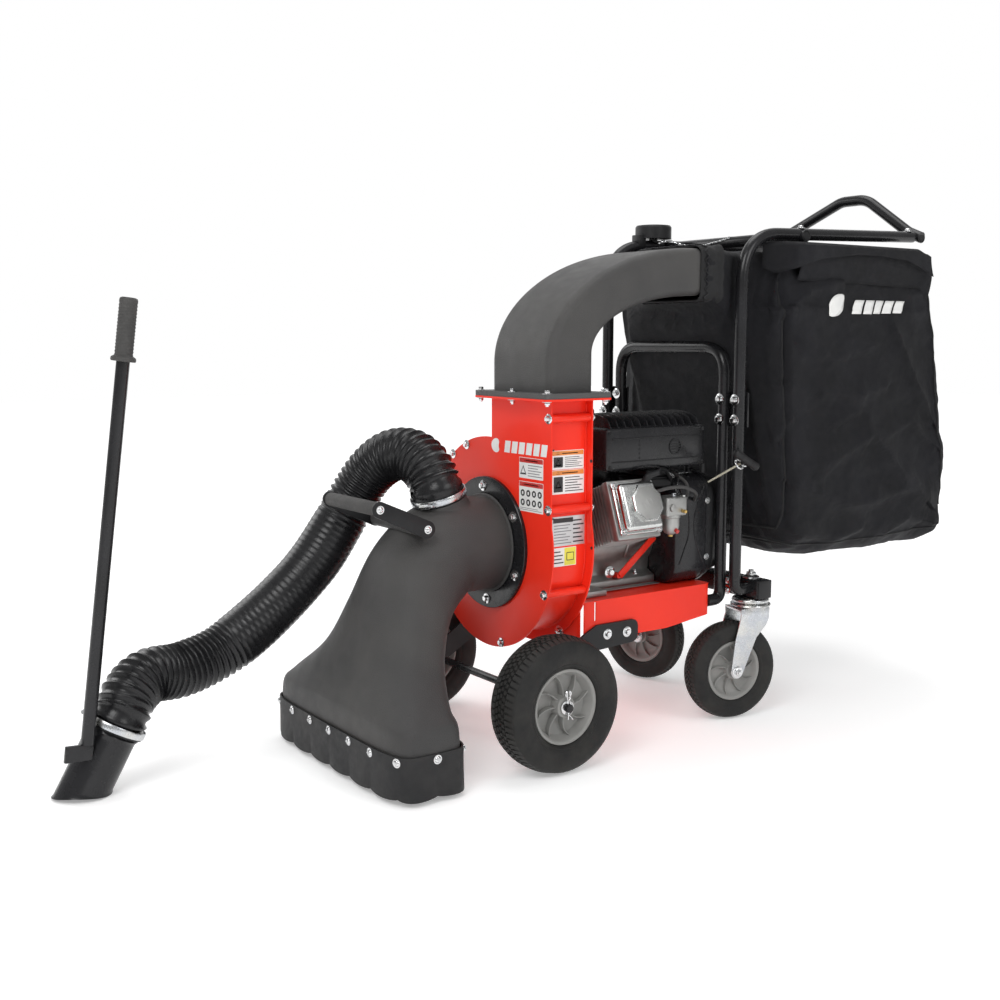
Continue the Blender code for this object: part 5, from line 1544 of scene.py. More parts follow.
def engine_block():
    low, high = BACK_PLATE_Y[1] + 0.0004, BLOWER_Y[0] - 0.0004
    outline = [(-0.100, 0.2972), (0.100, 0.2972), (0.100, 0.312), (0.078, 0.322)]
    outline += arc(0.0, SHAFT_Z, 0.098, -35, 200, 60) + [(-0.080, 0.322), (-0.100, 0.312)]
    case = Shape()
    case.slab(outline, high - low, facing_y((low + high) / 2), round_by=0.003)
    ring = Shape()
    for y in (0.150, 0.300):
        for a0, a1 in ((-30, 12), (150, 195)):
            line = arc(0, SHAFT_Z, 0.099, a0, a1, 24)
            ring.tube([Vector((x, y, z)) for x, z in line], 0.0028, sides=10)
    spots = []
    for angle in FLANGE_BOLTS:
        (x, z), _ = arc(0, SHAFT_Z, FLANGE_BOLT_RADIUS, angle, angle, 1)
        spots.append(Vector((x, FLANGE_BOLT_Y, z)))
    for at in spots:
        ring.rod(at, at + ALONG_Y * 0.030, 0.0085, sides=24, round_by=0.001)
    case.piece("engine_case", CAST, "chassis", "cast_aluminium", ["crankcase"], sharp=40)
    ring.piece("case_ribs", CAST, "chassis", "cast_aluminium")
    bolts = Shape()
    for at in spots:
        bolt(bolts, at, -ALONG_Y, 0.0080, washer=False)
    bolt(bolts, (0.098, 0.250, 0.330), ALONG_X, 0.0130)
    bolts.piece("case_bolts", CHROME, "chassis", "zinc_plate")
    stay = Shape()
    ends = Vector((0.1095, 0.268, 0.322)), Vector((0.1095, 0.362, 0.396))
    across = ALONG_X.cross((ends[1] - ends[0]).normalized()) * 0.0075
    corners = [ends[0] - across, ends[1] - across, ends[1] + across, ends[0] + across]
    stay.slab([(p.y, p.z) for p in corners], 0.0030, facing_x(0.1095), round_by=0.0006)
    stay.rod((0.090, 0.362, 0.396), (0.108, 0.362, 0.396), 0.0060, sides=20)
    stay.rod((0.080, 0.268, 0.322), (0.108, 0.268, 0.322), 0.0060, sides=20)
    stay.piece("engine_stay", RED, "chassis", "red_paint")

    barrel = Shape()
    barrel.box((0.1002, -0.040, -0.040), (0.200, 0.040, 0.040), 0.006, CYLINDER)
    for i in range(9):
        x = 0.1085 + 0.0088 * i
        barrel.box((x, -0.054, -0.056), (x + 0.0030, 0.054, 0.060), 0.0010, CYLINDER)
    barrel.box((0.184, -0.056, -0.058), (0.1995, 0.056, 0.062), 0.003, CYLINDER)
    barrel.piece("engine_barrel", CAST, "chassis", "cast_aluminium", ["cylinder"], sharp=40)
    cover = Shape()
    cover.box((0.2004, -0.052, -0.050), (0.2080, 0.052, 0.056), 0.0030, CYLINDER)
    cover.box((0.2060, -0.047, -0.045), (0.2260, 0.047, 0.051), 0.0090, CYLINDER, 4)
    def octagon(radius):
        return circle(0, 0, radius, 8)

    face = CYLINDER @ Matrix.Translation((0.2265, 0.010, 0.006)) @ Matrix.Rotation(math.pi / 2, 4, "Y")
    face = face @ Matrix.Rotation(math.radians(22.5), 4, "Z")
    cover.slab(octagon(0.0400), 0.0150, face, round_by=0.0022)
    cover.piece("valve_cover", BRIGHT_CAST, "chassis", "cast_aluminium", ["rocker_cover"], sharp=40)
    badge = Shape()
    raised = face @ Matrix.Translation((0, 0, 0.0078))
    badge.slab(octagon(0.0355), 0.0008, raised, round_by=0.0003)
    for i in range(3):
        badge.box(
            (-0.004 - 0.003 * (i == 1), -0.012 + 0.010 * i, 0.0078), (0.006, -0.008 + 0.010 * i, 0.0088),
            0.0003, face
        )
    badge.piece("valve_cover_badge", CAST, "chassis", "cast_aluminium")
    screws = Shape()
    out = (CYLINDER.to_3x3() @ ALONG_X).normalized()
    for y, z in ((-0.046, -0.044), (0.046, -0.044), (-0.046, 0.050), (0.046, 0.050)):
        bolt(screws, CYLINDER @ Vector((0.2080, y, z)), out, 0.0082)
    screws.piece("valve_cover_bolts", CHROME, "chassis", "zinc_plate")

    boot = Shape()
    at = Vector((0.190, 0.268, 0.536))
    boot.tube(
        bent([at + Vector((-0.012, 0.0, -0.022)), at, at + Vector((0.004, 0.024, 0.006))], 0.010, 6),
        lambda t: 0.0088 - 0.0022 * t, sides=20
    )
    lead = [
        at + Vector((0.004, 0.024, 0.006)), (0.186, 0.305, 0.548), (0.170, 0.335, 0.542),
        (0.150, 0.366, 0.520), (0.138, 0.3745, 0.505)
    ]
    boot.tube(flowing(lead, 0.004), 0.0036, sides=12)
    boot.piece("spark_boot", MOULDED, "chassis", "black_plastic")
    line = Shape()
    feed = [
        (0.0300, 0.385, 0.560), (0.120, 0.388, 0.536), (0.174, 0.388, 0.514), (0.188, 0.379, 0.488),
        (0.188, 0.362, 0.478)
    ]
    line.tube(flowing(feed, 0.004), 0.0032, sides=12)
    breather = [
        (0.200, 0.269, 0.503), (0.214, 0.300, 0.512), (0.213, 0.345, 0.511), (0.196, 0.395, 0.494),
        (0.161, 0.426, 0.474)
    ]
    line.tube(flowing(breather, 0.004), 0.0036, sides=12)
    line.piece("fuel_line", CHARCOAL, "chassis", "black_plastic")


engine_block()


def muffler_guard():
    low, high = GUARD_LOW, GUARD_HIGH
    shell = Shape()
    shell.box(low, high, 0.010, segments=4)
    shell.box((0.040, 0.215, 0.5022), (0.080, 0.290, 0.550), 0.002)
    for i in range(13):
        y = low.y + 0.010 + 0.0197 * i
        rows = []
        for k in range(17):
            t = k / 16
            x = low.x + 0.006 + (high.x - low.x - 0.012) * t
            rise = 0.025 * min(1.0, math.sin(math.pi * t) ** 0.35 * 1.02)
            lean = 0.004
            rows.append(
                [
                    (x, y, high.z - 0.003), (x, y + lean, high.z + rise),
                    (x, y + 0.0018 + lean, high.z + rise), (x, y + 0.0045, high.z - 0.003)
                ]
            )
        shell.skin(rows, caps=True)
    shell.piece("exhaust_guard", BLACK, "chassis", "black_paint", ["muffler_guard"], sharp=38)

    relief = Shape()
    out = high.x + 0.0002
    for z in (0.566, 0.612):
        relief.tube([Vector((out, y, z)) for y in np.linspace(0.190, 0.430, 12)], 0.0013, sides=8)
    for i in range(5):
        z = 0.572 + 0.0085 * i
        relief.rod((out - 0.001, 0.262, z), (out + 0.0008, 0.262, z), 0.0022, sides=16)
    relief.turned(
        [(0.0165, 0.0), (0.0165, 0.0016), (0.0140, 0.0016), (0.0140, 0.0)], (out - 0.0002, 0.358, 0.590),
        ALONG_X, steps=40, loop=True
    )
    for i in range(-2, 3):
        reach = math.sqrt(0.0150**2 - (0.0055 * i) ** 2)
        relief.box(
            (out - 0.001, 0.358 - reach, 0.590 + 0.0055 * i - 0.0010),
            (out + 0.0010, 0.358 + reach, 0.590 + 0.0055 * i + 0.0010)
        )
    relief.piece("guard_relief", SATIN, "chassis", "black_paint")
    screws = Shape()
    for y in (0.186, 0.434):
        for z in (0.556, 0.624):
            dome_screw(screws, (out - 0.0002, y, z), ALONG_X, 0.0032)
    screws.piece("guard_screws", SATIN, "chassis", "zinc_plate")


muffler_guard()


def tank_and_filter():
    tank = Shape()
    tank.box((-0.155, 0.180, 0.5295), (0.0290, 0.405, 0.640), 0.026, segments=6)
    seam = rounded((-0.1562, 0.1788), (0.0296, 0.4062), 0.028, 8)
    tank.slab(seam, 0.0030, facing_z(0.578), round_by=0.0008)
    tank.turned(
        [(0.0, 0.0), (0.031, 0.0), (0.031, 0.0020), (0.0290, 0.0044), (0.0, 0.0044)],
        (-0.060, 0.300, 0.6360), UP, steps=48
    )
    tank.piece("petrol_tank", BLACK, "chassis", "black_paint", ["fuel_tank"], sharp=40)

    cap = Shape()
    profile = [
        (0.0, 0.0205), (0.0180, 0.0205), (0.0240, 0.0195), (0.0262, 0.0165), (0.0262, 0.0020),
        (0.0250, 0.0), (0.0, 0.0)
    ]
    cap.turned(profile, FUEL_CAP, UP, steps=60)
    for k in range(24):
        a = math.tau * k / 24
        at = FUEL_CAP + Vector((0.0262 * math.cos(a), 0.0262 * math.sin(a), 0.0025))
        cap.rod(at, at + UP * 0.0130, 0.0017, sides=8, round_by=0.0006)
    cap.piece("petrol_cap", MOULDED, "tank_cap", "black_plastic", ["fuel_cap"])

    filter_box = Shape()
    filter_box.box((0.030, 0.3022, 0.5045), (0.150, 0.372, 0.5250), 0.006, segments=4)
    filter_box.box((0.0315, 0.3040, 0.5256), (0.1485, 0.3702, 0.5466), 0.008, segments=4)
    filter_box.slab(
        rounded((0.0295, 0.3016), (0.1505, 0.3726), 0.007, 6), 0.0024, facing_z(0.5252), round_by=0.0006
    )
    filter_box.piece("air_box", MOULDED, "chassis", "black_plastic", ["air_filter"])


tank_and_filter()


def carburettor():
    body = Shape()
    body.box((0.168, 0.3060, 0.452), (0.208, 0.362, 0.492), 0.005, segments=3)
    body.rod((0.110, 0.334, 0.474), (0.172, 0.334, 0.474), 0.014, sides=36, round_by=0.001)
    body.turned(
        [(0.0, 0.0), (0.0060, 0.0005), (0.0120, 0.0045), (0.0165, 0.0120), (0.0178, 0.0200), (0.0178, 0.0350)]
        + [(0.0196, 0.0370), (0.0196, 0.0420), (0.0, 0.0420)],
        (0.188, 0.334, 0.412), UP, steps=48,
    )
    body.rod((0.2075, 0.320, 0.470), (0.2125, 0.320, 0.470), 0.0075, sides=28, round_by=0.001)
    body.piece("carburettor_body", CAST, "chassis", "cast_aluminium", ["carburettor"], sharp=40)
    small = Shape()
    small.rod((0.188, 0.334, 0.4085), (0.188, 0.334, 0.4125), 0.0052, sides=6, round_by=0.0006)
    small.rod((0.2080, 0.348, 0.462), (0.2180, 0.348, 0.462), 0.0036, sides=20, round_by=0.0005)
    small.piece("carburettor_jets", BRASS, "chassis", "cast_aluminium")
    drain = Shape()
    drain.rod((0.2030, 0.334, 0.424), (0.2100, 0.334, 0.420), 0.0042, sides=20, round_by=0.0005)
    drain.piece("drain_screw", LABEL_RED, "chassis", "cast_aluminium")


carburettor()


def linkage():
    """Wires and springs between the throttle lever, the governor arm and the carburettor."""
    wires = Shape()
    wires.tube(
        flowing(
            [(0.140, 0.4520, 0.5330), (0.150, 0.410, 0.5330), (0.165, 0.372, 0.512), (0.186, 0.356, 0.494)],
            0.004
        ),
        0.0009, sides=8
    )
    wires.tube(
        bent(
            [
                (0.060, 0.4180, 0.5300), (0.095, 0.4050, 0.5340), (0.150, 0.3900, 0.5300),
                (0.178, 0.3600, 0.4950)
            ],
            0.008, 5
        ),
        0.0009, sides=8
    )
    for start, end, turns in (
        ((0.070, 0.405, 0.533), (0.104, 0.398, 0.534), 16),
        ((0.118, 0.392, 0.533), (0.146, 0.380, 0.524), 13)
    ):
        start, end = Vector(start), Vector(end)
        place = towards(end - start, start)
        length = (end - start).length
        coil = []
        for k in range(turns * 10 + 1):
            a = math.tau * k / 10
            coil.append(
                place @ Vector((0.0026 * math.cos(a), 0.0026 * math.sin(a), length * k / (turns * 10)))
            )
        wires.tube(coil, 0.0005, sides=6)
    wires.box((0.048, 0.400, 0.5284), (0.066, 0.442, 0.5300), 0.0004)
    wires.piece("governor_wires", CHROME, "chassis", "zinc_plate")
    plate = Shape()
    plate.box((0.030, 0.390, 0.5284), (0.135, 0.444, 0.5294), 0.0003)
    plate.piece("control_plate", ZINC, "chassis", "zinc_plate")
    dress("throttle_lever", MOULDED, 0.0010)
    dress("choke_lever", ZINC, 0.0004)


linkage()


def blower_and_recoil():
    low, high = BLOWER_Y
    outer = rounded((-0.160, 0.2955), (0.160, 0.528), 0.045, 12)
    inner = rounded((-0.157, 0.2985), (0.157, 0.525), 0.042, 12)

    def at(outline, y):
        return [(x, y, z) for x, z in outline]

    def drawn(outline, share):
        return [(x * share, SHAFT_Z + 0.009 + (z - SHAFT_Z - 0.009) * share) for x, z in outline]

    shell = Shape()
    rings = [
        at(drawn(outer, 0.955), low + 0.0002), at(drawn(outer, 0.985), low + 0.0030),
        at(outer, low + 0.0100)
    ]
    rings += [at(outer, y) for y in (0.400, 0.430, 0.460)]
    rings += [at(rounded((-0.1615, 0.2943), (0.1615, 0.5292), 0.046, 12), y) for y in (0.4605, high)]
    rings += [at(inner, high), at(inner, low + 0.010), at(drawn(inner, 0.95), low + 0.0034)]
    shell.skin(rings)
    for y, share in ((low + 0.0002, 0.955), (low + 0.0034, 0.95)):
        ring = drawn(outer if share == 0.955 else inner, share)
        hole = circle(0, SHAFT_Z, 0.021, len(ring))
        start = min(range(len(ring)), key=lambda i: math.atan2(ring[i][1] - SHAFT_Z, ring[i][0]) % math.tau)
        ring = ring[start:] + ring[:start]
        shell.skin([[(x, y, z) for x, z in ring], [(x, y, z) for x, z in hole]])
    bmesh.ops.remove_doubles(shell.mesh, verts=shell.mesh.verts, dist=1e-5)
    bmesh.ops.recalc_face_normals(shell.mesh, faces=shell.mesh.faces)
    shell.piece("blower_shell", BLACK, "chassis", "black_paint", ["blower_housing"], sharp=38)

    relief = Shape()
    for side in (-1, 1):
        x = side * 0.1600
        line = [
            (0.386, 0.500), (0.400, 0.470), (0.412, 0.440), (0.412, 0.400), (0.400, 0.370), (0.386, 0.340)
        ]
        relief.tube(
            [Vector((x, p.y, p.z)) for p in flowing([(0, y, z) for y, z in line], 0.006)], 0.0016, sides=8
        )
        line = [
            (0.454, 0.500), (0.440, 0.470), (0.429, 0.440), (0.429, 0.400), (0.440, 0.370), (0.454, 0.340)
        ]
        relief.tube(
            [Vector((x, p.y, p.z)) for p in flowing([(0, y, z) for y, z in line], 0.006)], 0.0016, sides=8
        )
    relief.piece("blower_relief", BLACK, "chassis", "black_paint")

    # The cover's edge lies on the blower, and its middle bulges out between the guard's legs.
    start, step, back = STARTER_Y
    cover = Shape()
    outer = rounded((-0.160, 0.2985), (0.160, 0.525), 0.050, 12)
    inner = rounded((-0.157, 0.3015), (0.157, 0.522), 0.047, 12)
    bulge = rounded((-0.1475, 0.3110), (0.1475, 0.5125), 0.042, 12)
    hollow = rounded((-0.1445, 0.3140), (0.1445, 0.5095), 0.039, 12)
    cover.skin(
        [
            at(drawn(hollow, 0.90), back - 0.0032), at(hollow, back - 0.010), at(hollow, step - 0.003),
            at(inner, step - 0.003)
        ]
        + [
            at(inner, start + 0.0002), at(outer, start + 0.0002), at(outer, start + 0.0010),
            at(outer, step - 0.0050)
        ]
        + [at(drawn(outer, s), step - d) for s, d in ((0.995, 0.0025), (0.985, 0.0006), (0.965, 0.0))]
        + [at(drawn(bulge, 1.006), step), at(bulge, step + 0.0020), at(bulge, back - 0.0140)]
        + [
            at(drawn(bulge, s), back - d) for s,
            d in ((0.992, 0.0080), (0.975, 0.0040), (0.950, 0.0012), (0.900, 0.0))
        ]
    )
    for y, base, rim_share in ((back, drawn(bulge, 0.900), 0.70), (back - 0.0032, drawn(hollow, 0.90), 0.74)):
        ring = [(x * rim_share, SHAFT_Z + 0.009 + (z - SHAFT_Z - 0.009) * rim_share) for x, z in base]
        cover.skin([at(base, y), at(ring, y)])
    disc = circle(0, SHAFT_Z + 0.009, 0.056, 72)
    cover.slab(disc, 0.0042, facing_y(back - 0.0022), round_by=0.0008)
    for i in range(48):
        a = math.tau * i / 48
        tip = Vector((math.cos(a), 0, math.sin(a)))
        centre = Vector((0, back - 0.0022, SHAFT_Z + 0.009))
        reach = min(0.097 / max(abs(tip.x), 1e-6), 0.068 / max(abs(tip.z), 1e-6), 0.106)
        cover.rod(centre + tip * 0.054, centre + tip * reach, 0.0017, sides=8)
    cover.piece("starter_cover", MOULDED, "chassis", "black_plastic", ["recoil_cover"], sharp=38)
    slots = Shape()
    for i in range(3):
        y = 0.4960 + 0.0085 * i
        for side in (-1, 1):
            slots.box((side * 0.1468 - 0.0008, y, 0.428), (side * 0.1468 + 0.0010, y + 0.0042, 0.460), 0.0004)
    slots.piece("starter_slots", INK, "chassis", "black_plastic")
    screws = Shape()
    for x, z in ((-0.122, 0.340), (0.122, 0.340), (-0.122, 0.484), (0.122, 0.484)):
        dome_screw(screws, (x, back - 0.0005, z), ALONG_Y, 0.0046)
    for z in (0.350, 0.470):
        bolt(screws, (0.1615, 0.4635, z), ALONG_X, 0.0070)
    screws.piece("starter_screws", ZINC, "chassis", "zinc_plate")


blower_and_recoil()


def starter():
    guide = ROPE_GUIDE
    line = (guide - ROPE_START).normalized()
    rope = Shape()
    length = (guide + line * 0.006 - ROPE_START).length
    place = towards(line, ROPE_START)
    for strand in range(3):
        points = []
        for k in range(161):
            t = k / 160
            a = math.tau * (t * length / 0.009 + strand / 3)
            points.append(place @ Vector((0.0010 * math.cos(a), 0.0010 * math.sin(a), t * length)))
        rope.tube(points, 0.00125, sides=8)
    rope.piece("pull_rope", ROPE, "chassis", "rope", ["starter_rope"], sharp=60)
    ring = Shape()
    profile = [
        (0.0100 + 0.0026 * math.cos(a), 0.0026 * math.sin(a))
        for a in [-i * math.tau / 16 for i in range(16)]
    ]
    ring.turned(profile, guide, line, steps=48, loop=True)
    ring.tube(
        bent([guide + Vector((0.0, 0.0095, -0.004)), (0.2360, 0.500, 0.546), (0.2240, 0.500, 0.546)], 0.006),
        0.0023, sides=14
    )
    ring.piece("rope_eye", CHROME, "chassis", "black_paint", ["rope_guide"])
    grip = Shape()
    at = guide + line * 0.0200
    side = Vector((0.275, 0.819, -0.5))
    side = (side - line * side.dot(line)).normalized()
    grip.tube(
        [at + side * d for d in np.linspace(-0.032, 0.032, 25)],
        lambda t: 0.0092 - 0.0012 * math.sin(math.pi * t) - 0.0030 * (ease(abs(t - 0.5), 0.44, 0.5)),
        sides=28
    )
    grip.rod(at, at - line * 0.0135, 0.008, end_radius=0.0045, sides=28)
    for d in np.linspace(-0.026, 0.026, 9):
        if abs(d) > 0.009:
            grip.rod(at + side * (d - 0.0008), at + side * (d + 0.0008), 0.0088, sides=24)
    grip.piece("pull_handle", MOULDED, "starter_grip", "black_plastic", ["starter_handle"], sharp=60)


starter()


def rotor():
    dress("impeller", SATIN, 0.0010)
    dress("crankshaft", CHROME, 0.0008)
    dress("flywheel", CAST, 0.0010)
    nut = Shape()
    nut.rod((0, 0.0270, SHAFT_Z), (0, 0.0355, SHAFT_Z), 0.0130, sides=6, round_by=0.0010)
    nut.piece("fan_nut", CHROME, "rotor", "zinc_plate")


rotor()


def port_plug():
    low, high = 1.0405, 1.0720
    x, y = -0.210, PLUG_Y
    plug = Shape()
    plug.turned(
        [
            (0.0, high - low), (0.0330, high - low), (0.0395, high - low - 0.0008),
            (0.0425, high - low - 0.0050), (0.0425, 0.0), (0.0, 0.0)
        ],
        (x, y, low), UP, steps=72,
    )
    plug.piece("spare_plug", MOULDED, "chassis", "black_plastic", ["port_plug"])
    block = Shape()
    block.box((-0.2230, 0.580, 1.020), (-0.1970, 0.602, 1.0480), 0.002)
    block.piece("plug_bracket", SATIN, "chassis", "black_paint")
    chain = Shape()
    ring_at = Vector((-0.150, 0.618, 1.0300))
    loop = [
        ring_at + Vector((0.0165 * math.cos(a), 0.0165 * math.sin(a), 0.004 * math.sin(a)))
        for a in np.linspace(0, math.tau, 40)
    ]
    chain.tube(loop, 0.0011, sides=8, caps=False)
    path = flowing(
        [
            (-0.138, 0.622, 1.0300), (-0.110, 0.640, 1.0210), (-0.070, 0.650, 1.0180),
            (-0.020, 0.655, 1.0240), (0.020, 0.662, 1.0330)
        ],
        0.0052
    )
    for i, (a, b) in enumerate(zip(path, path[1:])):
        centre = (a + b) / 2
        along = (b - a).normalized()
        across = along.cross(UP).normalized() if i % 2 else UP
        link_points = []
        for k in range(13):
            t = math.tau * k / 12
            link_points.append(centre + along * 0.0036 * math.cos(t) + across * 0.0019 * math.sin(t))
        chain.tube(link_points, 0.0006, sides=6, caps=False)
    chain.piece("plug_chain", CHROME, "chassis", "zinc_plate")


port_plug()


# ---- Bag ----
# Stations back along the bag: (Y, low X, high X, low Z, high Z, half width above the shoulder).
BAG = (
    (0.3960, 0.008, 0.212, 0.886, 0.995, 0.212),
    (0.4400, -0.030, 0.207, 0.875, 0.994, 0.207),
    (0.5050, -0.183, 0.189, 0.830, 0.992, 0.189),
    (0.5520, -0.190, 0.192, 0.690, 0.990, 0.186),
    (0.5780, -0.248, 0.248, 0.520, 0.990, 0.212),
    (0.6100, -0.264, 0.264, 0.400, 0.992, 0.246),
    (0.6500, -0.268, 0.268, 0.352, 0.993, 0.260),
    (0.7200, -0.270, 0.270, 0.343, 0.994, 0.264),
    (0.9000, -0.270, 0.270, 0.338, 0.994, 0.266),
    (1.0400, -0.270, 0.270, 0.338, 0.990, 0.264),
    (1.0680, -0.269, 0.269, 0.338, 0.962, 0.258),
    (1.1000, -0.269, 0.269, 0.338, 0.800, 0.262),
    (1.1300, -0.268, 0.268, 0.340, 0.640, 0.262),
    (1.1500, -0.262, 0.262, 0.346, 0.540, 0.258),
    (1.1610, -0.244, 0.244, 0.362, 0.470, 0.240),
)
SHOULDER = 0.85
# Folds in the side panel: (height, half width, line of (Y, Z)).
FOLDS = (
    (0.0130, 0.055, ((0.695, 0.532), (0.855, 0.598), (0.987, 0.487), (1.060, 0.440))),
    (0.0100, 0.042, ((0.629, 0.500), (0.721, 0.464), (0.808, 0.444), (0.905, 0.450), (0.997, 0.470))),
    (0.0090, 0.040, ((0.700, 0.690), (0.800, 0.682), (0.897, 0.703))),
    (0.0075, 0.030, ((0.735, 0.622), (0.812, 0.652))),
    (0.0080, 0.038, ((0.640, 0.800), (0.720, 0.760), (0.860, 0.790))),
    (0.0080, 0.034, ((0.930, 0.820), (1.010, 0.700), (1.080, 0.620))),
    (0.0070, 0.030, ((0.900, 0.590), (1.000, 0.620), (1.090, 0.560))),
    (0.0085, 0.036, ((0.660, 0.390), (0.760, 0.372), (0.850, 0.392))),
    (0.0085, 0.036, ((0.940, 0.372), (1.020, 0.405), (1.110, 0.380))),
    (-0.0060, 0.012, ((0.589, 0.930), (0.597, 0.715), (0.606, 0.528), (0.616, 0.350))),
    (-0.0050, 0.014, ((0.527, 0.716), (0.597, 0.715))),
    (0.0070, 0.026, ((0.545, 0.640), (0.580, 0.600), (0.612, 0.640))),
    (0.0080, 0.030, ((0.600, 0.860), (0.660, 0.905), (0.760, 0.925))),
)


def bag_rings(rows, count):
    stations = np.array(BAG)
    steps = np.linalg.norm(np.diff(stations[:, [0, 2, 3, 4]], axis=0), axis=1)
    run = np.concatenate(([0.0], np.cumsum(steps)))
    where = np.linspace(0.0, run[-1], rows)
    table = np.stack([np.interp(where, run, stations[:, k]) for k in range(6)], axis=1)
    for _ in range(2):
        table[1:-1] = (table[:-2] + 2 * table[1:-1] + table[2:]) / 4
    rings = []
    for y, x0, x1, z0, z1, top in table:
        outline = []
        for u, v in squircle((x1 - x0) / 2, (z1 - z0) / 2, 7.0, count * 8):
            x, z = (x0 + x1) / 2 + u, (z0 + z1) / 2 + v
            rise = min(max((z - SHOULDER + 0.03) / 0.06, 0.0), 1.0)
            limit = top * rise + 1.0 - rise
            outline.append((max(-limit, min(limit, x)), z))
        ring = evened(outline, count)
        rings.append([(x, y, z) for x, z in ring])
    y, middle = table[-1][0], np.array([0.0, (table[-1][3] + table[-1][4]) / 2])
    for share in (0.8, 0.5, 0.2):
        rings.append(
            [
                (x * share, y + 0.002 * (1 - share), middle[1] + (z - middle[1]) * share) for x, _,
                z in rings[rows - 1]
            ]
        )
    return rings


def near_line(points, line):
    """The distance of each point from a line of (Y, Z) points, and the side it is on."""
    best = np.full(len(points), 9.0)
    side = np.zeros(len(points))
    for a, b in zip(np.array(line), np.array(line[1:])):
        along = b - a
        share = np.clip((points - a) @ along / (along @ along), 0.0, 1.0)
        gap = points - a - share[:, None] * along
        distance = np.linalg.norm(gap, axis=1)
        nearer = distance < best
        best[nearer] = distance[nearer]
        side[nearer] = np.sign(gap[nearer] @ np.array([-along[1], along[0]]))
    return best, side


def settled(shape):
    """The bag's cloth, a little larger than its frame, hung from its top and its neck until it creases."""
    mesh = bpy.data.meshes.new("bag_cloth")
    shape.mesh.to_mesh(mesh)
    cloth = bpy.data.objects.new("bag_cloth", mesh)
    scene = bpy.context.scene
    scene.collection.objects.link(cloth)
    start = np.array([v.co[:] for v in mesh.vertices])
    held = cloth.vertex_groups.new(name="held")
    for v in mesh.vertices:
        hold = max(ease(v.co.z, 0.955, 0.985), 1.0 - ease(v.co.y, 0.445, 0.500))
        if hold > 0.01:
            held.add([v.index], hold, "REPLACE")
    modifier = cloth.modifiers.new("cloth", "CLOTH")
    fabric = modifier.settings
    fabric.quality = 5
    fabric.mass = 0.2
    fabric.tension_stiffness = fabric.compression_stiffness = 18
    fabric.shear_stiffness = 6
    fabric.bending_stiffness = 0.9
    fabric.vertex_group_mass = "held"
    fabric.shrink_min = -0.035
    fabric.use_pressure = True
    fabric.uniform_pressure_force = 1.2
    fabric.effector_weights.gravity = 0.5
    modifier.collision_settings.use_collision = False
    last = 26
    modifier.point_cache.frame_start, modifier.point_cache.frame_end = 1, last
    for i in range(1, last + 1):
        scene.frame_set(i)
    graph = bpy.context.evaluated_depsgraph_get()
    moved = bpy.data.meshes.new_from_object(cloth.evaluated_get(graph))
    end = np.array([v.co[:] for v in moved.vertices])
    bpy.data.objects.remove(cloth)
    scene.frame_set(1)
    shift = end - start
    length = np.linalg.norm(shift, axis=1)
    shift *= np.minimum(1.0, 0.014 / np.maximum(length, 1e-9))[:, None]
    return start + shift


def bag():
    shape = Shape()
    rows = shape.skin(bag_rings(96, 150))
    shape.mesh.faces.new(rows[-1])
    bmesh.ops.recalc_face_normals(shape.mesh, faces=shape.mesh.faces)
    shape.mesh.verts.index_update()
    for v, place in zip(shape.mesh.verts, settled(shape)):
        v.co = place
    bmesh.ops.subdivide_edges(shape.mesh, edges=shape.mesh.edges, cuts=1, use_grid_fill=True)
    bmesh.ops.smooth_vert(
        shape.mesh, verts=shape.mesh.verts, factor=0.5, use_axis_x=True, use_axis_y=True, use_axis_z=True
    )
    shape.mesh.normal_update()
    places = np.array([v.co[:] for v in shape.mesh.verts])
    normals = np.array([v.normal[:] for v in shape.mesh.verts])
    push = np.zeros(len(places))
    for sign in (1, -1):
        facing = np.clip((normals[:, 0] * sign - 0.35) / 0.4, 0.0, 1.0)
        flat = places[:, 1:].copy()
        if sign < 0:
            flat[:, 0] = np.where(flat[:, 0] > 0.62, 1.70 - flat[:, 0], flat[:, 0])
        for height, half, line in FOLDS:
            distance, side = near_line(flat, line)
            reach = half * (1.0 + 0.35 * side)
            push += facing * 1.6 * height * np.clip(1.0 - distance / reach, 0.0, 1.0) ** 1.5
    for i, (x, y, z) in enumerate(places):
        slow = noise.noise(Vector((x * 3.0, y * 5.0 + z * 2.0, z * 6.0 - y * 2.0)))
        crease = noise.ridged_multi_fractal(
            Vector((x * 5.0, y * 6.0 + z * 4.0, z * 8.0 - y * 5.0)), 1.0, 2.1, 3, 1.0, 2.0
        )
        fine = noise.ridged_multi_fractal(
            Vector((x * 16.0, y * 14.0 - z * 9.0, z * 17.0 + y * 9.0)), 1.0, 2.0, 2, 1.0, 2.0
        )
        push[i] += 0.0036 * slow + 0.0062 * (crease - 1.1) + 0.0016 * (fine - 1.0)
    loose = np.array([ease(y, 0.425, 0.520) for y in places[:, 1]])
    beside = np.clip((np.abs(places[:, 1] - 0.52) - 0.02) / 0.05, 0.25, 1.0)
    moved = places + normals * (np.clip(push, -0.012, 0.020) * loose * beside)[:, None]
    for v, place in zip(shape.mesh.verts, moved):
        v.co = place
    rail_clear = 1.006
    for v in shape.mesh.verts:
        v.co.z = min(v.co.z, rail_clear)
    tree = BVHTree.FromBMesh(shape.mesh)
    made = shape.piece("leaf_bag", FABRIC, "chassis", "bag_fabric", ["bag"], sharp=60)
    wall = made.modifiers.new("wall", "SOLIDIFY")
    wall.thickness, wall.offset = 0.0014, -1.0
    bag_trim(tree)


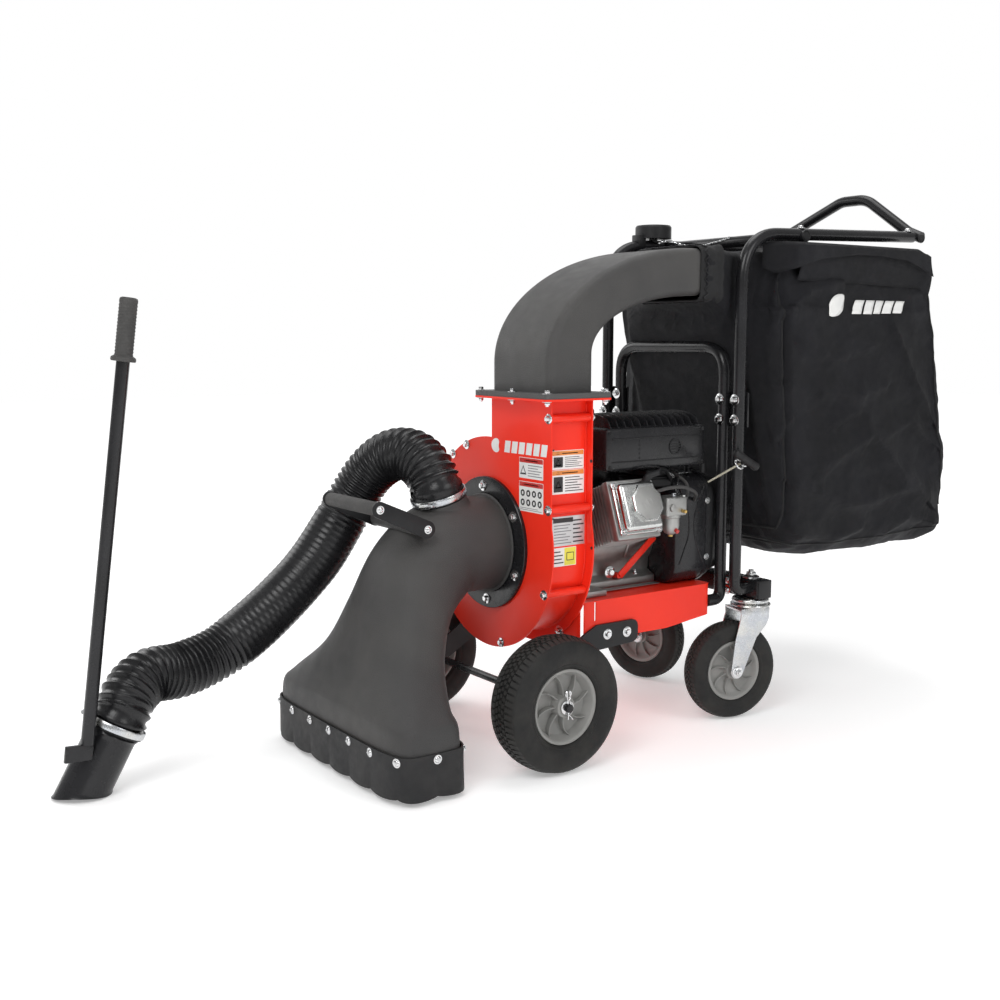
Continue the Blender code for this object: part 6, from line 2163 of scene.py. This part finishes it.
def on_side(tree, sign, y, z, lift):
    """A point on the bag's side, lifted off the cloth."""
    hit, normal, _, _ = tree.ray_cast(Vector((sign * 0.6, y, z)), Vector((-sign, 0, 0)))
    if hit is None:
        return Vector((sign * 0.265, y, z))
    if normal.x * sign < 0:
        normal = -normal
    return hit + normal * lift


def bag_trim(tree):
    """Seams, the flap along each rail, the cuff with its lacing, and the printed mark."""
    seams = Shape()
    for sign in (1, -1):
        for line, radius in (
            ([(0.589, 0.925), (0.597, 0.715), (0.606, 0.528), (0.614, 0.375)], 0.0026),
            ([(1.046, 0.950), (1.062, 0.880), (1.082, 0.715), (1.108, 0.560), (1.130, 0.420)], 0.0024),
            ([(0.625, 0.368), (0.735, 0.362), (0.863, 0.360), (1.014, 0.362), (1.120, 0.368)], 0.0022),
        ):
            points = flowing([(0.0, y, z) for y, z in line], 0.010)
            seams.tube([on_side(tree, sign, p.y, p.z, radius * 0.2) for p in points], radius, sides=8)
    seams.piece("bag_seams", WEBBING, "chassis", "bag_fabric", sharp=60)

    flap = Shape()
    edge = ((0.560, 0.957), (0.576, 0.946), (0.620, 0.962), (0.664, 0.975), (0.781, 0.988), (0.860, 0.988))
    edge += ((0.948, 0.981), (1.000, 0.965), (1.030, 0.949))
    for sign in (1, -1):
        rings = []
        for y in np.linspace(0.560, 1.030, 90):
            low = float(np.interp(y, *np.array(edge).T))
            out = float(np.interp(y, (0.560, 0.600, 0.640), (0.205, 0.262, 0.272)))
            flutter = 0.0022 * noise.noise(Vector((y * 17.0, sign, 0.0)))
            corner = ease(y, 0.990, 1.030)
            top = 1.0062 - 0.010 * corner
            row = [
                (sign * (out - 0.062), y, top), (sign * (out - 0.030), y, top + 0.0004),
                (sign * (out - 0.006), y, top - 0.002)
            ]
            for k in range(7):
                t = k / 6
                z = (top - 0.008) * (1 - t) + (low - 0.004) * t
                row.append(
                    (sign * (out + 0.0035 + (flutter + 0.0060 * t * corner) * t), y + 0.004 * corner * t, z)
                )
            rings.append(row)
        flap.skin(rings, closed=False)
        # The panel's upper hem, which hangs inside the flap from the same rail.
        hem = []
        for y in np.linspace(0.620, 1.052, 60):
            high = float(np.interp(y, (0.620, 1.020, 1.052), (0.998, 0.990, 0.958)))
            hem.append(
                [(sign * (0.2640 - 0.0140 * t * t), y, high - 0.070 * t) for t in np.linspace(0, 1, 8)]
            )
        flap.skin(hem, closed=False)
    made = flap.piece("bag_flaps", FABRIC, "chassis", "bag_fabric", sharp=60)
    wall = made.modifiers.new("wall", "SOLIDIFY")
    wall.thickness, wall.offset = 0.0018, 0.0

    cuff = Shape()
    rings = []
    for k in range(15):
        t = k / 14
        y = 0.3845 + 0.060 * t
        grow = 0.0034 + 0.0016 * math.sin(math.pi * min(1.0, t * 1.4)) + 0.004 * ease(t, 0.75, 1.0)
        outline = rounded((0.015 - grow, 0.8870 - grow), (0.205 + grow, 0.9880 + grow), 0.016, 8)
        ring = []
        for i, (x, z) in enumerate(evened(outline, 120)):
            pucker = 0.0010 * math.sin(i * 0.9 + 3.0 * t) * t + 0.0012 * noise.noise(
                Vector((x * 40, y * 60, z * 40))
            )
            dx, dz = x - 0.110, z - 0.9375
            size = math.hypot(dx, dz)
            ring.append((x + dx / size * pucker, y, z + dz / size * pucker))
        rings.append(ring)
    cuff.skin(rings)
    made = cuff.piece("bag_cuff", WEBBING, "chassis", "bag_fabric", sharp=60)
    wall = made.modifiers.new("wall", "SOLIDIFY")
    wall.thickness, wall.offset = 0.0016, 0.0

    lacing = Shape()
    outline = rounded((0.015 - 0.0070, 0.8870 - 0.0070), (0.205 + 0.0070, 0.9880 + 0.0070), 0.018, 8)
    spots = evened(outline, 66)
    zigzag = [Vector((x, 0.3960 + (0.0075 if i % 2 else -0.0040), z)) for i, (x, z) in enumerate(spots)]
    lacing.tube(bent(zigzag + zigzag[:1], 0.002, 2), 0.0012, sides=6)
    lacing.piece("cuff_lacing", SATIN, "chassis", "bag_fabric", sharp=60)

    mark = Shape()
    rows = []
    for k in range(17):
        t = k / 16
        half = 0.021 * math.sin(math.pi * t) ** 0.75
        y, z = 0.716 + 0.050 * t, 0.856 + 0.044 * t
        rows.append(
            [
                on_side(tree, 1, y - half * j * 0.66, z + half * j * 0.75, 0.0012)
                for j in (-1, -0.5, 0, 0.5, 1)
            ]
        )
    mark.skin(rows, closed=False)
    for y0, y1, z0, z1 in (
        (0.790, 0.818, 0.860, 0.890), (0.824, 0.852, 0.860, 0.890), (0.858, 0.886, 0.861, 0.890),
        (0.892, 0.920, 0.862, 0.890), (0.926, 0.954, 0.863, 0.890),
    ):
        rows = []
        for k in range(5):
            y = y0 + (y1 - y0) * k / 4
            rows.append([on_side(tree, 1, y + 0.004 * j, z0 + (z1 - z0) * j / 4, 0.0012) for j in range(5)])
        mark.skin(rows, closed=False)
    made = mark.piece("bag_mark", WHITE, "chassis", "bag_fabric", sharp=60)
    wall = made.modifiers.new("wall", "SOLIDIFY")
    wall.thickness, wall.offset = 0.0006, 1.0


bag()
